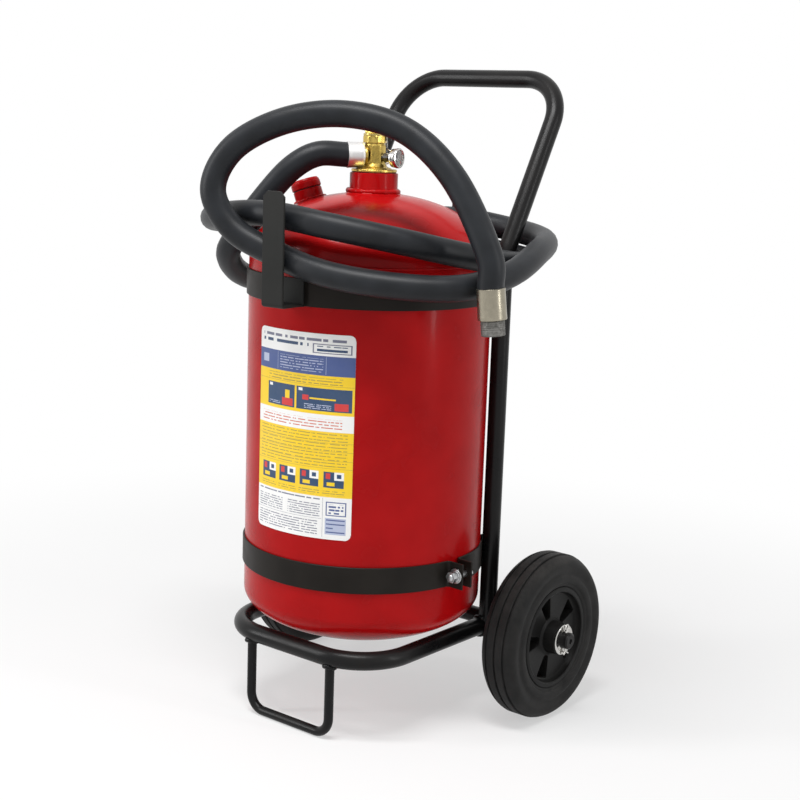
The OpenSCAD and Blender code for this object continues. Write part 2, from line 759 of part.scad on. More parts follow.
module valve_bonnet() color(brass) at_neck() difference() {
    union() {
        translate([0, 0, bonnet_foot]) cylinder(r = cavity_r - fit, h = bonnet_head - bonnet_foot + eps);
        translate([0, 0, bonnet_head]) hex(bonnet_head_r, bonnet_head_h);
    }
    translate([0, 0, bonnet_foot - over])
        cylinder(r = stem_r + axle_fit, h = bonnet_head + bonnet_head_h - bonnet_foot + 2 * over);
    translate([0, 0, bonnet_foot - over]) cylinder(r = packing_r, h = packing_h + fit + over);
}

// A flat ear that runs out from the stem's axis and is drilled for the lock pin
module lock_ear(h) difference() {
    hull() {
        translate([lock_r, 0, 0]) cylinder(d = lock_ear_w, h = h, $fn = 32);
        translate([cavity_r + 1, -lock_ear_w / 2, 0]) cube([1, lock_ear_w, h]);
    }
    translate([lock_r, 0, -over]) cylinder(r = lock_pin_d / 2 + lock_pin_fit, h = h + 2 * over);
}

module lock_plate() color(steel) at_neck() translate([0, 0, valve_h]) difference() {
    union() {
        cylinder(r = collar_r - 0.5, h = lock_plate_t);
        rotate([0, 0, lock_az]) lock_ear(lock_plate_t);
    }
    translate([0, 0, -over]) cylinder(r = cavity_r + fit, h = lock_plate_t + 2 * over);
}

// The lever's tab hangs down beside the valve and shows which way it is turned
module valve_lever() color("crimson") at_neck() translate([0, 0, lever_z]) difference() {
    union() {
        cylinder(r = lever_hub_r, h = lever_t);
        rotate([0, 0, lever_az]) {
            translate([0, -lever_w / 2, 0]) cube([lever_l - lever_w / 2, lever_w, lever_t]);
            translate([lever_l - lever_w / 2, 0, 0]) cylinder(d = lever_w, h = lever_t);
            translate([lever_tab_r, -lever_w / 2, -lever_tab_drop])
                cube([lever_tab_t, lever_w, lever_tab_drop + eps]);
        }
        rotate([0, 0, lock_az]) lock_ear(lever_t);
    }
    translate([0, 0, -over]) cylinder(r = stem_r + fit, h = lever_t + 2 * over);
}

module lever_nut() color(steel) at_neck() translate([0, 0, lever_nut_z]) difference() {
    hex(lever_nut_r, lever_nut_h);
    translate([0, 0, -over]) cylinder(r = stem_r + fit, h = lever_nut_h + 2 * over);
}

module at_lock_pin() at_neck() rotate([0, 0, lock_az])
    translate([lock_r, 0, lock_pin_top - lock_pin_l]) children();

// The pin waits in the lock plate, just below the lever; pushed up, it locks the lever
module lock_pin() color(steel) at_lock_pin() {
    cylinder(d = lock_pin_d, h = lock_pin_l);
    translate([0, 0, lock_eye_sink - lock_eye_r]) rotate([90, 0, 0]) translate([0, 0, -lock_eye_t / 2])
        ring(lock_eye_r, lock_eye_hole_r, lock_eye_t);
}

module lock_pin_ring() color(steel) at_lock_pin()
    translate([0, 0, -lock_eye_r - lock_ring_r + 1]) rotate([0, 90, 0])
        rotate_extrude() translate([lock_ring_r, 0]) circle(d = lock_ring_wire, $fn = 20);

// ---- Gauge ----

module gauge_stem() color(steel) at_gauge() {
    translate([0, 0, body_r + rest_gap]) cylinder(r = gauge_stem_r, h = gauge_back - body_r - 2 * rest_gap);
    translate([0, 0, body_r + gauge_hex_in])
        hex(gauge_hex_r, gauge_back - body_r - gauge_hex_in - gauge_hex_out);
}

module gauge_case() color("silver") at_gauge() translate([0, 0, gauge_back]) difference() {
    cylinder(r = gauge_r, h = gauge_depth);
    translate([0, 0, gauge_wall]) cylinder(r = gauge_r - gauge_wall, h = gauge_depth);
}

module gauge_dial() color("white") at_gauge() translate([0, 0, gauge_back + dial_gap]) {
    cylinder(r = gauge_r - gauge_wall - fit, h = dial_t);
    translate([0, 0, dial_t - eps])
        cylinder(r = needle_post_r, h = needle_lift + needle_t + needle_post_tail);
}

module gauge_needle() color("black") at_gauge()
    translate([0, 0, gauge_back + dial_gap + dial_t + needle_lift]) difference() {
        union() {
            cylinder(r = needle_hub_r, h = needle_t);
            linear_extrude(needle_t) polygon([[0, -needle_root], [-needle_l, -needle_tip],
                [-needle_l, needle_tip], [0, needle_root]]);
        }
        translate([0, 0, -over]) cylinder(r = needle_post_r + axle_fit, h = needle_t + 2 * over);
    }

module gauge_lens() color([0.9, 0.95, 1, 0.4]) at_gauge() translate([0, 0, gauge_back + lens_back])
    cylinder(r = gauge_r - gauge_wall - fit, h = lens_t);

// ---- Hose ----

// Point at share t between p1 and p2 of a smooth curve through the route's points
function between(p0, p1, p2, p3, t) =
    (2 * p1 + (p2 - p0) * t + (2 * p0 - 5 * p1 + 4 * p2 - p3) * t * t
     + (3 * p1 - p0 - 3 * p2 + p3) * t * t * t) / 2;

function smooth_route(p, steps) = let(last = len(p) - 1)
    concat([for (i = [0 : last - 1], s = [0 : steps - 1]) between(
        i == 0 ? 2 * p[0] - p[1] : p[i - 1], p[i], p[i + 1],
        i == last - 1 ? 2 * p[last] - p[last - 1] : p[i + 2], s / steps)], [p[last]]);

function unit(v) = v / norm(v);

// Direction of the curve p at each of its points; at both ends it is that of the route
function directions(p, route) = let(last = len(p) - 1, n = len(route) - 1)
    [for (i = [0 : last]) unit(i == 0 ? route[1] - route[0]
        : i == last ? route[n] - route[n - 1] : p[i + 1] - p[i - 1])];

// A side direction for each ring, carried along the curve without twist
function side_directions(dirs) =
    [for (i = 0, n = unit(cross(dirs[0], [0, 0, 1])); i < len(dirs);
          i = i + 1, n = i < len(dirs) ? unit(n - (n * dirs[i]) * dirs[i]) : n) n];

module swept_tube(route, steps, d, sides) {
    curve = smooth_route(route, steps);
    dirs = directions(curve, route);
    across = side_directions(dirs);
    rings = len(curve);
    points = [for (i = [0 : rings - 1], s = [0 : sides - 1])
        curve[i] + d / 2 * (cos(s * 360 / sides) * across[i]
                            + sin(s * 360 / sides) * cross(dirs[i], across[i]))];
    walls = [for (i = [0 : rings - 2], s = [0 : sides - 1]) let(n = (s + 1) % sides)
        [i * sides + s, (i + 1) * sides + s, (i + 1) * sides + n, i * sides + n]];
    first = [for (s = [0 : sides - 1]) s];
    last = [for (s = [sides - 1 : -1 : 0]) (rings - 1) * sides + s];
    polyhedron(points, concat(walls, [first], [last]));
}

module hose() color([0.13, 0.13, 0.14]) swept_tube(hose_route, hose_steps, hose_d, hose_sides);

module valve_nipple() color(brass) at_outlet() translate([0, 0, cavity_r + 1])
    ring(nipple_r, nipple_bore_r, outlet_reach - cavity_r - 1);

module valve_ferrule() color(steel) at_outlet() translate([0, 0, ferrule_in])
    ring(valve_ferrule_d / 2, nipple_r + fit, valve_ferrule_l);

// Local Z runs on in the direction in which the hose ends
tip_dir = unit(hose_end - hose_route[len(hose_route) - 2]);
module at_tip() translate(hose_end + fit * tip_dir)
    rotate([0, acos(tip_dir[2]), atan2(tip_dir[1], tip_dir[0])]) children();

module tip_ferrule() color(steel) at_tip() ring(tip_ferrule_d / 2, nipple_r + fit, tip_ferrule_l);

module tip_nipple() color("gray") at_tip() difference() {
    union() {
        cylinder(r = nipple_r, h = tip_ferrule_l + tip_thread_l);
        translate([0, 0, tip_ferrule_l]) cylinder(d = tip_thread_d, h = tip_thread_l);
    }
    translate([0, 0, -over]) cylinder(r = tip_bore_r, h = tip_ferrule_l + tip_thread_l + 2 * over);
}

// ---- Nodes ----

on_base() tank_shell();
on_base() neck_collar();
on_base() filler_boss();
on_base() filler_seal();
on_base() filler_cap();
on_base() label_plate();
on_base() band(upper_band_z, upper_clamp_az);  // upper_band
on_base() clamp_bolt(upper_clamp_az, upper_band_z);  // upper_band_bolt
on_base() clamp_washers(upper_clamp_az, upper_band_z);  // upper_band_washers
on_base() clamp_nut(upper_clamp_az, upper_band_z);  // upper_band_nut
on_base() band(lower_band_z, lower_clamp_az);  // lower_band
on_base() clamp_bolt(lower_clamp_az, lower_band_z);  // lower_band_bolt
on_base() clamp_washers(lower_clamp_az, lower_band_z);  // lower_band_washers
on_base() clamp_nut(lower_clamp_az, lower_band_z);  // lower_band_nut
on_base() front_hook();
on_base() hook(rear_hook_az);  // rear_hook
on_base() upright(-1);  // left_upright
on_base() upright(1);  // right_upright
on_base() handle_bow();
on_base() base_hoop();
on_base() foot_loop();
on_base() axle();
on_base() axle_spacers();
on_base() inner_washers();
on_base() hub_washers();
on_base() split_pins();
on_base() tyre(-1);  // left_tyre
on_base() hub(-1);  // left_hub
on_base() bush(-1);  // left_bush
on_base() tyre(1);  // right_tyre
on_base() hub(1);  // right_hub
on_base() bush(1);  // right_bush
on_base() neck_seal();
on_base() valve_body();
on_base() ball_seat();
on_base() valve_ball();
on_base() valve_stem();
on_base() stem_packing();
on_base() valve_bonnet();
on_base() lock_plate();
on_base() valve_lever();
on_base() lever_nut();
on_base() lock_pin();
on_base() lock_pin_ring();
on_base() dip_tube();
on_base() gauge_stem();
on_base() gauge_case();
on_base() gauge_dial();
on_base() gauge_needle();
on_base() gauge_lens();
on_base() valve_nipple();
on_base() valve_ferrule();
on_base() hose();
on_base() tip_ferrule();
on_base() tip_nipple();
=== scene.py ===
import math

import bpy
from mathutils import Matrix, Vector


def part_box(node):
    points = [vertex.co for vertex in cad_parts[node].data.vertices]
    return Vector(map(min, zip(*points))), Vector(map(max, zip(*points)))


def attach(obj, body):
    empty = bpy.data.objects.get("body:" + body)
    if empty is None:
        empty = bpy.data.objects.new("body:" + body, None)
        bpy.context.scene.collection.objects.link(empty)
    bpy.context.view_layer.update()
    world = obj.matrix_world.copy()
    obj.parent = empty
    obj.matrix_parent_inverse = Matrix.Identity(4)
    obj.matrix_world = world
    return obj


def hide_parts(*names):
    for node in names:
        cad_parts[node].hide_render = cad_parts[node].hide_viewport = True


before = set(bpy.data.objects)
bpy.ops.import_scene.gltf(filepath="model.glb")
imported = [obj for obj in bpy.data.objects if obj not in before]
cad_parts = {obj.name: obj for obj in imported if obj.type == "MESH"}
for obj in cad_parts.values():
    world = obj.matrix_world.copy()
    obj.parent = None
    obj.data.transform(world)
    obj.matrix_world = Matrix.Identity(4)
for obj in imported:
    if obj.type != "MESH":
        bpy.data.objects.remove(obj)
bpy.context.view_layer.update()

# The frame is in metres; most sizes of pieces are given in millimetres and multiplied by this
MM = 0.001
X, Y, Z = Vector((1, 0, 0)), Vector((0, 1, 0)), Vector((0, 0, 1))


# ---- Places taken from the frame ----

def lowest(node):
    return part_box(node)[0]


def highest(node):
    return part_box(node)[1]


def middle(node):
    low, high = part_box(node)
    return (low + high) / 2


def extent(node):
    low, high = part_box(node)
    return high - low


tank_axis = Vector((0, middle("tank_shell").y, 0))
tank_r = extent("tank_shell").x / 2
tube_r = extent("left_upright").x / 2


def direction(turn):
    """The level direction at that many degrees from +X."""
    a = math.radians(turn)
    return Vector((math.cos(a), math.sin(a), 0))


def round_tank(turn, radius, height):
    """The point at that direction, distance and height round the tank's axis."""
    return tank_axis + direction(turn) * radius + Z * height


# ---- Camera ----

CAMERA_PLACE = Vector((1.155, -1.3768, 0.712))
CAMERA_TURN = 39.1
CAMERA_DOWN = 10.7
CAMERA_ROLL = 2.0
CAMERA_LENS = 68.5


def make_camera():
    turn, down, roll = (math.radians(v) for v in (CAMERA_TURN, CAMERA_DOWN, CAMERA_ROLL))
    ahead = Vector((-math.sin(turn) * math.cos(down), math.cos(turn) * math.cos(down), -math.sin(down)))
    right = Vector((math.cos(turn), math.sin(turn), 0))
    up = right.cross(ahead)
    tilted_right = right * math.cos(roll) + up * math.sin(roll)
    tilted_up = up * math.cos(roll) - right * math.sin(roll)
    data = bpy.data.cameras.new("camera")
    data.lens = CAMERA_LENS
    camera = bpy.data.objects.new("camera", data)
    bpy.context.scene.collection.objects.link(camera)
    axes = Matrix((tilted_right, tilted_up, -ahead)).transposed()
    camera.matrix_world = Matrix.Translation(CAMERA_PLACE) @ axes.to_4x4()
    bpy.context.scene.camera = camera


make_camera()


# ---- Modelling by hand ----

# Points closer than this are merged, in metres
MERGE = 1e-6
# A bend is spun in steps of about this many degrees
BEND_STEP = 7.5


def object_mode():
    if bpy.context.object and bpy.context.object.mode != "OBJECT":
        bpy.ops.object.mode_set(mode="OBJECT")


def deselect_all():
    object_mode()
    bpy.ops.object.select_all(action="DESELECT")


def select_only(*objects):
    deselect_all()
    for piece in objects:
        piece.select_set(True)
    bpy.context.view_layer.objects.active = objects[0]


def edit(piece, mode="VERT"):
    select_only(piece)
    bpy.ops.object.mode_set(mode="EDIT")
    bpy.ops.mesh.select_mode(type=mode)


def named(name):
    piece = bpy.context.object
    piece.name = name
    piece.data.name = name
    return piece


def place(piece, point, along=Z):
    """Turns the piece's local Z to a direction, moves it there and puts the place into its mesh."""
    object_mode()
    aim = Vector(along).to_track_quat("Z", "Y").to_matrix().to_4x4()
    already_up = Vector(along).normalized().dot(Z) > 0.9999
    if already_up:
        aim = Matrix.Identity(4)
    piece.data.transform(Matrix.Translation(Vector(point)) @ aim)
    piece.data.update()
    return piece


def finish_mesh(piece, smooth=35):
    """Applies the modifiers and shades the piece smooth except at its edges."""
    select_only(piece)
    for modifier in list(piece.modifiers):
        bpy.ops.object.modifier_apply(modifier=modifier.name)
    bpy.ops.object.transform_apply(location=True, rotation=True, scale=True)
    if smooth:
        bpy.ops.object.shade_smooth_by_angle(angle=math.radians(smooth))
    return piece


def soften(piece, width, segments=2, angle=35):
    """Rounds every edge that is sharper than the angle."""
    bevel = piece.modifiers.new("bevel", "BEVEL")
    bevel.width = width
    bevel.segments = segments
    bevel.limit_method = "ANGLE"
    bevel.angle_limit = math.radians(angle)
    return piece


def close_up():
    """In edit mode: merges doubles, and turns all faces outwards."""
    bpy.ops.mesh.select_all(action="SELECT")
    bpy.ops.mesh.remove_doubles(threshold=MERGE)
    bpy.ops.mesh.normals_make_consistent(inside=False)
    bpy.ops.object.mode_set(mode="OBJECT")


def turned(name, outline, steps=64, hollow=False):
    """A piece turned round its local Z: the outline is (radius, height) in millimetres, from below."""
    deselect_all()
    points = [(max(r, 0.001) * MM, z * MM) for r, z in outline]
    if hollow:
        points.append(points[0])
    bpy.ops.mesh.primitive_circle_add(vertices=steps, radius=points[0][0], location=(0, 0, points[0][1]))
    piece = named(name)
    bpy.ops.object.transform_apply(location=True, rotation=False, scale=False)
    edit(piece)
    bpy.ops.mesh.select_all(action="SELECT")
    if not hollow:
        bpy.ops.mesh.edge_face_add()
    for (r0, z0), (r1, z1) in zip(points, points[1:]):
        bpy.ops.mesh.extrude_region_move(TRANSFORM_OT_translate={"value": (0, 0, z1 - z0)})
        if abs(r1 - r0) > 1e-9:
            k = r1 / r0
            bpy.ops.transform.resize(value=(k, k, 1), center_override=(0, 0, z1))
    close_up()
    return piece


def hexagonal(piece, across, height=(-1e3, 1e3), sides=6, turn=0.0):
    """Pushes a turned piece in to flats, as wide across them as that, between two heights."""
    flat, share = across / 2 * MM, 360 / sides
    for v in piece.data.vertices:
        if height[0] * MM <= v.co.z <= height[1] * MM:
            a = (math.degrees(math.atan2(v.co.y, v.co.x)) - turn) % share - share / 2
            reach = flat / math.cos(math.radians(a))
            r = math.hypot(v.co.x, v.co.y)
            if r > reach:
                v.co.x *= reach / r
                v.co.y *= reach / r
    piece.data.update()
    return piece


def swept(name, section, point, along, side, moves):
    """Sweeps a section by hand: runs are extruded and bends are spun.
    The section is (across, up) points in millimetres, across along side. A move is ("run", length)
    or ("bend", degrees, radius, towards), towards being the direction that the sweep bends to. A bend
    may end with its number of steps."""
    deselect_all()
    here, ahead, side = Vector(point), Vector(along).normalized(), Vector(side).normalized()
    up = ahead.cross(side)
    bpy.ops.mesh.primitive_circle_add(vertices=len(section), radius=MM)
    piece = named(name)
    for v, (a, b) in zip(piece.data.vertices, section):
        v.co = here + side * a * MM + up * b * MM
    edit(piece)
    bpy.ops.mesh.select_all(action="SELECT")
    bpy.ops.mesh.edge_face_add()
    for move in moves:
        if move[0] == "run":
            step = ahead * move[1] * MM
            bpy.ops.mesh.extrude_region_move(TRANSFORM_OT_translate={"value": step})
            here = here + step
        else:
            angle, radius, towards = math.radians(move[1]), move[2] * MM, Vector(move[3]).normalized()
            centre, axis = here + towards * radius, ahead.cross(towards)
            steps = move[4] if len(move) > 4 else max(3, round(abs(move[1]) / BEND_STEP))
            bpy.ops.mesh.spin(steps=steps, angle=-angle, center=centre, axis=axis)
            turn = Matrix.Rotation(angle, 3, axis)
            here, ahead = centre + turn @ (here - centre), turn @ ahead
    close_up()
    return piece


def disc(radius, count):
    """A round section for swept()."""
    return [(radius * math.cos(i * math.tau / count), radius * math.sin(i * math.tau / count))
            for i in range(count)]


def strip(width, depth, corner):
    """A flat section with eased corners for swept()."""
    w, d, c = width / 2, depth / 2, corner
    return [(-w + c, -d), (w - c, -d), (w, -d + c), (w, d - c),
            (w - c, d), (-w + c, d), (-w, d - c), (-w, -d + c)]


def washer_outline(bore, r, low, high, back, up):
    """A ring's section for turned(), its outer edges cut off by so much across and so much in height."""
    return [(bore, low), (r - back, low), (r, low + up), (r, high - up), (r - back, high), (bore, high)]


def ring(name, radius, wire, around=40, across=12):
    """A round wire bent to a ring, in metres."""
    deselect_all()
    bpy.ops.mesh.primitive_torus_add(major_radius=radius, minor_radius=wire, major_segments=around,
                                     minor_segments=across)
    return named(name)


def weld(name, point, along, radius, bead, saddle=0.0, across=X, ripples=40, rough=1.0):
    """A bead of weld round a joint. saddle is the radius of the tube that it lies on, which runs along
    across; the ripples are those of the bead's laid drops, and rough says how much they stand out."""
    piece = ring(name, radius * MM, bead * MM, ripples * 3, 10)
    for v in piece.data.vertices:
        a = math.atan2(v.co.y, v.co.x)
        r = math.hypot(v.co.x, v.co.y)
        swell = 1 + rough * (0.10 * math.sin(a * ripples) + 0.12 * math.sin(a * 3 + ripples)
                             + 0.10 * math.sin(a * 7) + 0.07 * math.sin(a * 13 + 1))
        r = radius * MM + (r - radius * MM) * swell
        drop = 0.0
        if saddle:
            reach = min(abs(radius * math.sin(a)), saddle * 0.98)
            drop = (saddle - math.sqrt(saddle ** 2 - reach ** 2)) * MM
        v.co = Vector((r * math.cos(a), r * math.sin(a), v.co.z * swell - drop))
    piece.data.update()
    if saddle:
        out = Vector(along).normalized()
        lay = Vector(across).normalized()
        piece.data.transform(Matrix((lay, out.cross(lay), out)).transposed().to_4x4())
        piece.data.transform(Matrix.Translation(Vector(point)))
    else:
        place(piece, point, along)
    return finish_mesh(piece, smooth=60)


def joined(name, *parts):
    """Joins parts that are one piece on the real object."""
    select_only(*parts)
    if len(parts) > 1:
        bpy.ops.object.join()
    return named(name)


def cut(piece, cutter, operation="DIFFERENCE"):
    """Cuts the cutter out of the piece, or with UNION adds it."""
    boolean = piece.modifiers.new("cut", "BOOLEAN")
    boolean.operation = operation
    boolean.solver = "EXACT"
    boolean.object = cutter
    select_only(piece)
    bpy.ops.object.modifier_apply(modifier=boolean.name)
    bpy.data.objects.remove(cutter)
    return piece


def dress(piece, material, body, *nodes, slot=None):
    """Gives a new piece its finish and its body, and the CAD nodes it stands for."""
    piece.data.materials.clear()
    piece.data.materials.append(material)
    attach(piece, body)
    if nodes:
        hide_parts(*nodes)
    return piece


# ---- Nodes for the materials ----

def node(tree, kind, values=None, **settings):
    """A shader node: values are its sockets' values or what is linked to them."""
    made = tree.nodes.new("ShaderNode" + kind)
    for key, value in settings.items():
        setattr(made, key, value)
    for key, value in (values or {}).items():
        if isinstance(value, bpy.types.NodeSocket):
            tree.links.new(value, made.inputs[key])
        else:
            made.inputs[key].default_value = value
    return made


def new_group(name, inputs, outputs):
    group = bpy.data.node_groups.new(name, "ShaderNodeTree")
    kinds = {"value": "NodeSocketFloat", "colour": "NodeSocketColor", "vector": "NodeSocketVector"}
    for label, kind, value in inputs:
        socket = group.interface.new_socket(name=label, in_out="INPUT", socket_type=kinds[kind])
        if value is not None:
            socket.default_value = value
    for label, kind in outputs:
        group.interface.new_socket(name=label, in_out="OUTPUT", socket_type=kinds[kind])
    return group, group.nodes.new("NodeGroupInput"), group.nodes.new("NodeGroupOutput")


def use(tree, group, **values):
    made = tree.nodes.new("ShaderNodeGroup")
    made.node_tree = group
    for key, value in values.items():
        socket = made.inputs[key.replace("_", " ")]
        if isinstance(value, bpy.types.NodeSocket):
            tree.links.new(value, socket)
        else:
            socket.default_value = value
    return made


def maths(tree, operation, a, b=0.0, clamp=False):
    return node(tree, "Math", {0: a, 1: b}, operation=operation, use_clamp=clamp).outputs[0]


def spread(tree, value, low, high, to_low=0.0, to_high=1.0):
    return node(tree, "MapRange", {"Value": value, "From Min": low, "From Max": high,
                                   "To Min": to_low, "To Max": to_high}).outputs[0]


def inside(tree, value, low, high):
    """1 where the value is between the two, and 0 elsewhere."""
    above = maths(tree, "GREATER_THAN", value, low)
    return maths(tree, "MULTIPLY", above, maths(tree, "LESS_THAN", value, high))


def mixed(tree, factor, a, b):
    return node(tree, "MixRGB", {0: factor, 1: a, 2: b}).outputs[0]


def directly_seen(tree):
    """1 for what the camera sees itself, in a reflection or through glass, and 0 for other light."""
    rays = node(tree, "LightPath")
    seen = maths(tree, "ADD", rays.outputs["Is Camera Ray"], rays.outputs["Is Glossy Ray"])
    return maths(tree, "ADD", seen, rays.outputs["Is Transmission Ray"], clamp=True)


def grain_group():
    """Fine unevenness of a surface: height of a grain at one size with a slow wave under it."""
    g, given, out = new_group("surface grain", [
        ("Vector", "vector", None), ("Scale", "value", 900.0), ("Wave scale", "value", 30.0),
        ("Wave share", "value", 0.3)], [("Height", "value"), ("Wave", "value")])
    fine = node(g, "TexNoise", {"Vector": given.outputs["Vector"], "Scale": given.outputs["Scale"],
                                "Detail": 3.0, "Roughness": 0.55}).outputs[0]
    slow = node(g, "TexNoise", {"Vector": given.outputs["Vector"], "Scale": given.outputs["Wave scale"],
                                "Detail": 2.0}).outputs[0]
    part = maths(g, "MULTIPLY", slow, given.outputs["Wave share"])
    g.links.new(maths(g, "ADD", fine, part), out.inputs["Height"])
    g.links.new(slow, out.inputs["Wave"])
    return g


def dust_group():
    """Dust that has settled: more of it on faces that look up, in soft patches."""
    g, given, out = new_group("dust", [
        ("Vector", "vector", None), ("Patch scale", "value", 12.0), ("On sides", "value", 0.15),
        ("Amount", "value", 0.2)], [("Mask", "value")])
    normal = node(g, "NewGeometry").outputs["Normal"]
    upward = node(g, "SeparateXYZ", {0: normal}).outputs["Z"]
    lying = maths(g, "MAXIMUM", upward, given.outputs["On sides"])
    patches = node(g, "TexNoise", {"Vector": given.outputs["Vector"], "Scale": given.outputs["Patch scale"],
                                   "Detail": 6.0, "Roughness": 0.65}).outputs[0]
    soft = spread(g, patches, 0.35, 0.75)
    both = maths(g, "MULTIPLY", lying, soft)
    g.links.new(maths(g, "MULTIPLY", both, given.outputs["Amount"], clamp=True), out.inputs["Mask"])
    return g


def brushing_group():
    """Fine scratches that run round or along a metal piece, and blotches of dulled metal."""
    g, given, out = new_group("brushing", [
        ("Vector", "vector", None), ("Stretch", "vector", (1.0, 1.0, 40.0)), ("Scale", "value", 300.0),
        ("Blotch scale", "value", 60.0)], [("Scratches", "value"), ("Blotches", "value")])
    stretched = node(g, "VectorMath", {0: given.outputs["Vector"], 1: given.outputs["Stretch"]},
                     operation="MULTIPLY").outputs[0]
    lines = node(g, "TexNoise", {"Vector": stretched, "Scale": given.outputs["Scale"], "Detail": 4.0,
                                 "Roughness": 0.7}).outputs[0]
    blotches = node(g, "TexNoise", {"Vector": given.outputs["Vector"], "Scale": given.outputs["Blotch scale"],
                                    "Detail": 5.0}).outputs[0]
    g.links.new(lines, out.inputs["Scratches"])
    g.links.new(blotches, out.inputs["Blotches"])
    return g


def panel_group():
    """A printed rectangle on the label: 1 inside it and 0 outside."""
    g, given, out = new_group("label panel", [
        ("Across", "value", 0.0), ("Down", "value", 0.0), ("Left", "value", 0.0), ("Right", "value", 1.0),
        ("Top", "value", 0.0), ("Bottom", "value", 1.0)], [("Mask", "value")])
    wide = inside(g, given.outputs["Across"], given.outputs["Left"], given.outputs["Right"])
    tall = inside(g, given.outputs["Down"], given.outputs["Top"], given.outputs["Bottom"])
    g.links.new(maths(g, "MULTIPLY", wide, tall), out.inputs["Mask"])
    return g


def rows_group():
    """Rows of short dashes, like rows of a table seen from afar: no letters."""
    g, given, out = new_group("label rows", [
        ("Across", "value", 0.0), ("Down", "value", 0.0), ("Pitch", "value", 0.02),
        ("Weight", "value", 0.4), ("Dash scale", "value", 30.0)], [("Mask", "value")])
    row = maths(g, "DIVIDE", given.outputs["Down"], given.outputs["Pitch"])
    inked = maths(g, "LESS_THAN", maths(g, "FRACT", row), given.outputs["Weight"])
    number = maths(g, "FLOOR", row)
    along = maths(g, "MULTIPLY", given.outputs["Across"], given.outputs["Dash scale"])
    spot = node(g, "CombineXYZ", {0: along, 1: maths(g, "MULTIPLY", number, 7.3)}).outputs[0]
    dashes = node(g, "TexNoise", {"Vector": spot, "Scale": 1.0, "Detail": 1.0}).outputs[0]
    g.links.new(maths(g, "MULTIPLY", inked, maths(g, "GREATER_THAN", dashes, 0.42)), out.inputs["Mask"])
    return g


GRAIN = grain_group()
DUST = dust_group()
BRUSHING = brushing_group()
PANEL = panel_group()
ROWS = rows_group()


def new_material(name):
    material = bpy.data.materials.new(name)
    material.use_nodes = True
    tree = material.node_tree
    tree.nodes.clear()
    shader = node(tree, "BsdfPrincipled")
    output = node(tree, "OutputMaterial")
    tree.links.new(shader.outputs[0], output.inputs[0])
    at = node(tree, "TexCoord").outputs["Object"]
    return material, tree, shader, at


def put(tree, shader, **values):
    """Sets or links the shader's sockets."""
    for key, value in values.items():
        socket = shader.inputs[key.replace("_", " ")]
        if isinstance(value, bpy.types.NodeSocket):
            tree.links.new(value, socket)
        else:
            socket.default_value = value


def bumped(tree, height, strength, depth):
    return node(tree, "Bump", {"Height": height, "Strength": strength, "Distance": depth}).outputs[0]


def grey(v):
    return (v, v, v, 1.0)


PAINT_DUST = (0.42, 0.39, 0.36, 1.0)
MOULDED_DUST = (0.30, 0.28, 0.26, 1.0)
LABEL_DUST = (0.55, 0.52, 0.48, 1.0)


def paint(name, colour, deep, roughness, coat, peel=700.0, peel_depth=0.00006, dust=0.08, specular=0.5):
    """Sprayed paint: orange peel, a slow drift of shade and settled dust."""
    material, tree, shader, at = new_material(name)
    grain = use(tree, GRAIN, Vector=at, Scale=peel, Wave_scale=22.0, Wave_share=0.8)
    shade = mixed(tree, spread(tree, grain.outputs["Wave"], 0.35, 0.65), colour, deep)
    settled = use(tree, DUST, Vector=at, Amount=dust)
    dusty = mixed(tree, settled.outputs["Mask"], shade, PAINT_DUST)
    rough = spread(tree, grain.outputs["Wave"], 0.3, 0.7, roughness * 0.85, roughness * 1.15)
    rough = maths(tree, "ADD", rough, maths(tree, "MULTIPLY", settled.outputs["Mask"], 0.5), clamp=True)
    put(tree, shader, Base_Color=dusty, Roughness=rough, Coat_Weight=coat, Coat_Roughness=0.08,
        Specular_IOR_Level=specular, Normal=bumped(tree, grain.outputs["Height"], 0.5, peel_depth))
    return material


def metal(name, colour, dull, roughness, stretch=(1.0, 1.0, 30.0), scale=260.0, depth=0.00005,
          blotch=60.0, tarnish=0.4):
    """Bare or plated metal with its tool marks and dulled blotches."""
    material, tree, shader, at = new_material(name)
    marks = use(tree, BRUSHING, Vector=at, Stretch=stretch, Scale=scale, Blotch_scale=blotch)
    dulled = spread(tree, marks.outputs["Blotches"], 0.42, 0.7, 0.0, tarnish)
    line = spread(tree, marks.outputs["Scratches"], 0.3, 0.7, roughness * 0.7, roughness * 1.3)
    rough = maths(tree, "ADD", line, maths(tree, "MULTIPLY", dulled, 0.25), clamp=True)
    put(tree, shader, Base_Color=mixed(tree, dulled, colour, dull), Metallic=1.0, Roughness=rough,
        Normal=bumped(tree, marks.outputs["Scratches"], 0.4, depth))
    return material


def moulded(name, colour, bloomed, roughness, grain_scale=1500.0, depth=0.00008, dust=0.2, specular=0.4):
    """Rubber or plastic from a mould: fine grain, bloom and dust."""
    material, tree, shader, at = new_material(name)
    grain = use(tree, GRAIN, Vector=at, Scale=grain_scale, Wave_scale=35.0, Wave_share=0.4)
    bloom = spread(tree, grain.outputs["Wave"], 0.35, 0.7)
    settled = use(tree, DUST, Vector=at, Amount=dust, On_sides=0.25, Patch_scale=30.0)
    base = mixed(tree, settled.outputs["Mask"], mixed(tree, bloom, colour, bloomed), MOULDED_DUST)
    rough = spread(tree, grain.outputs["Height"], 0.3, 1.0, roughness * 0.85, min(1.0, roughness * 1.15))
    put(tree, shader, Base_Color=base, Roughness=rough, Specular_IOR_Level=specular,
        Normal=bumped(tree, grain.outputs["Height"], 0.6, depth))
    return material


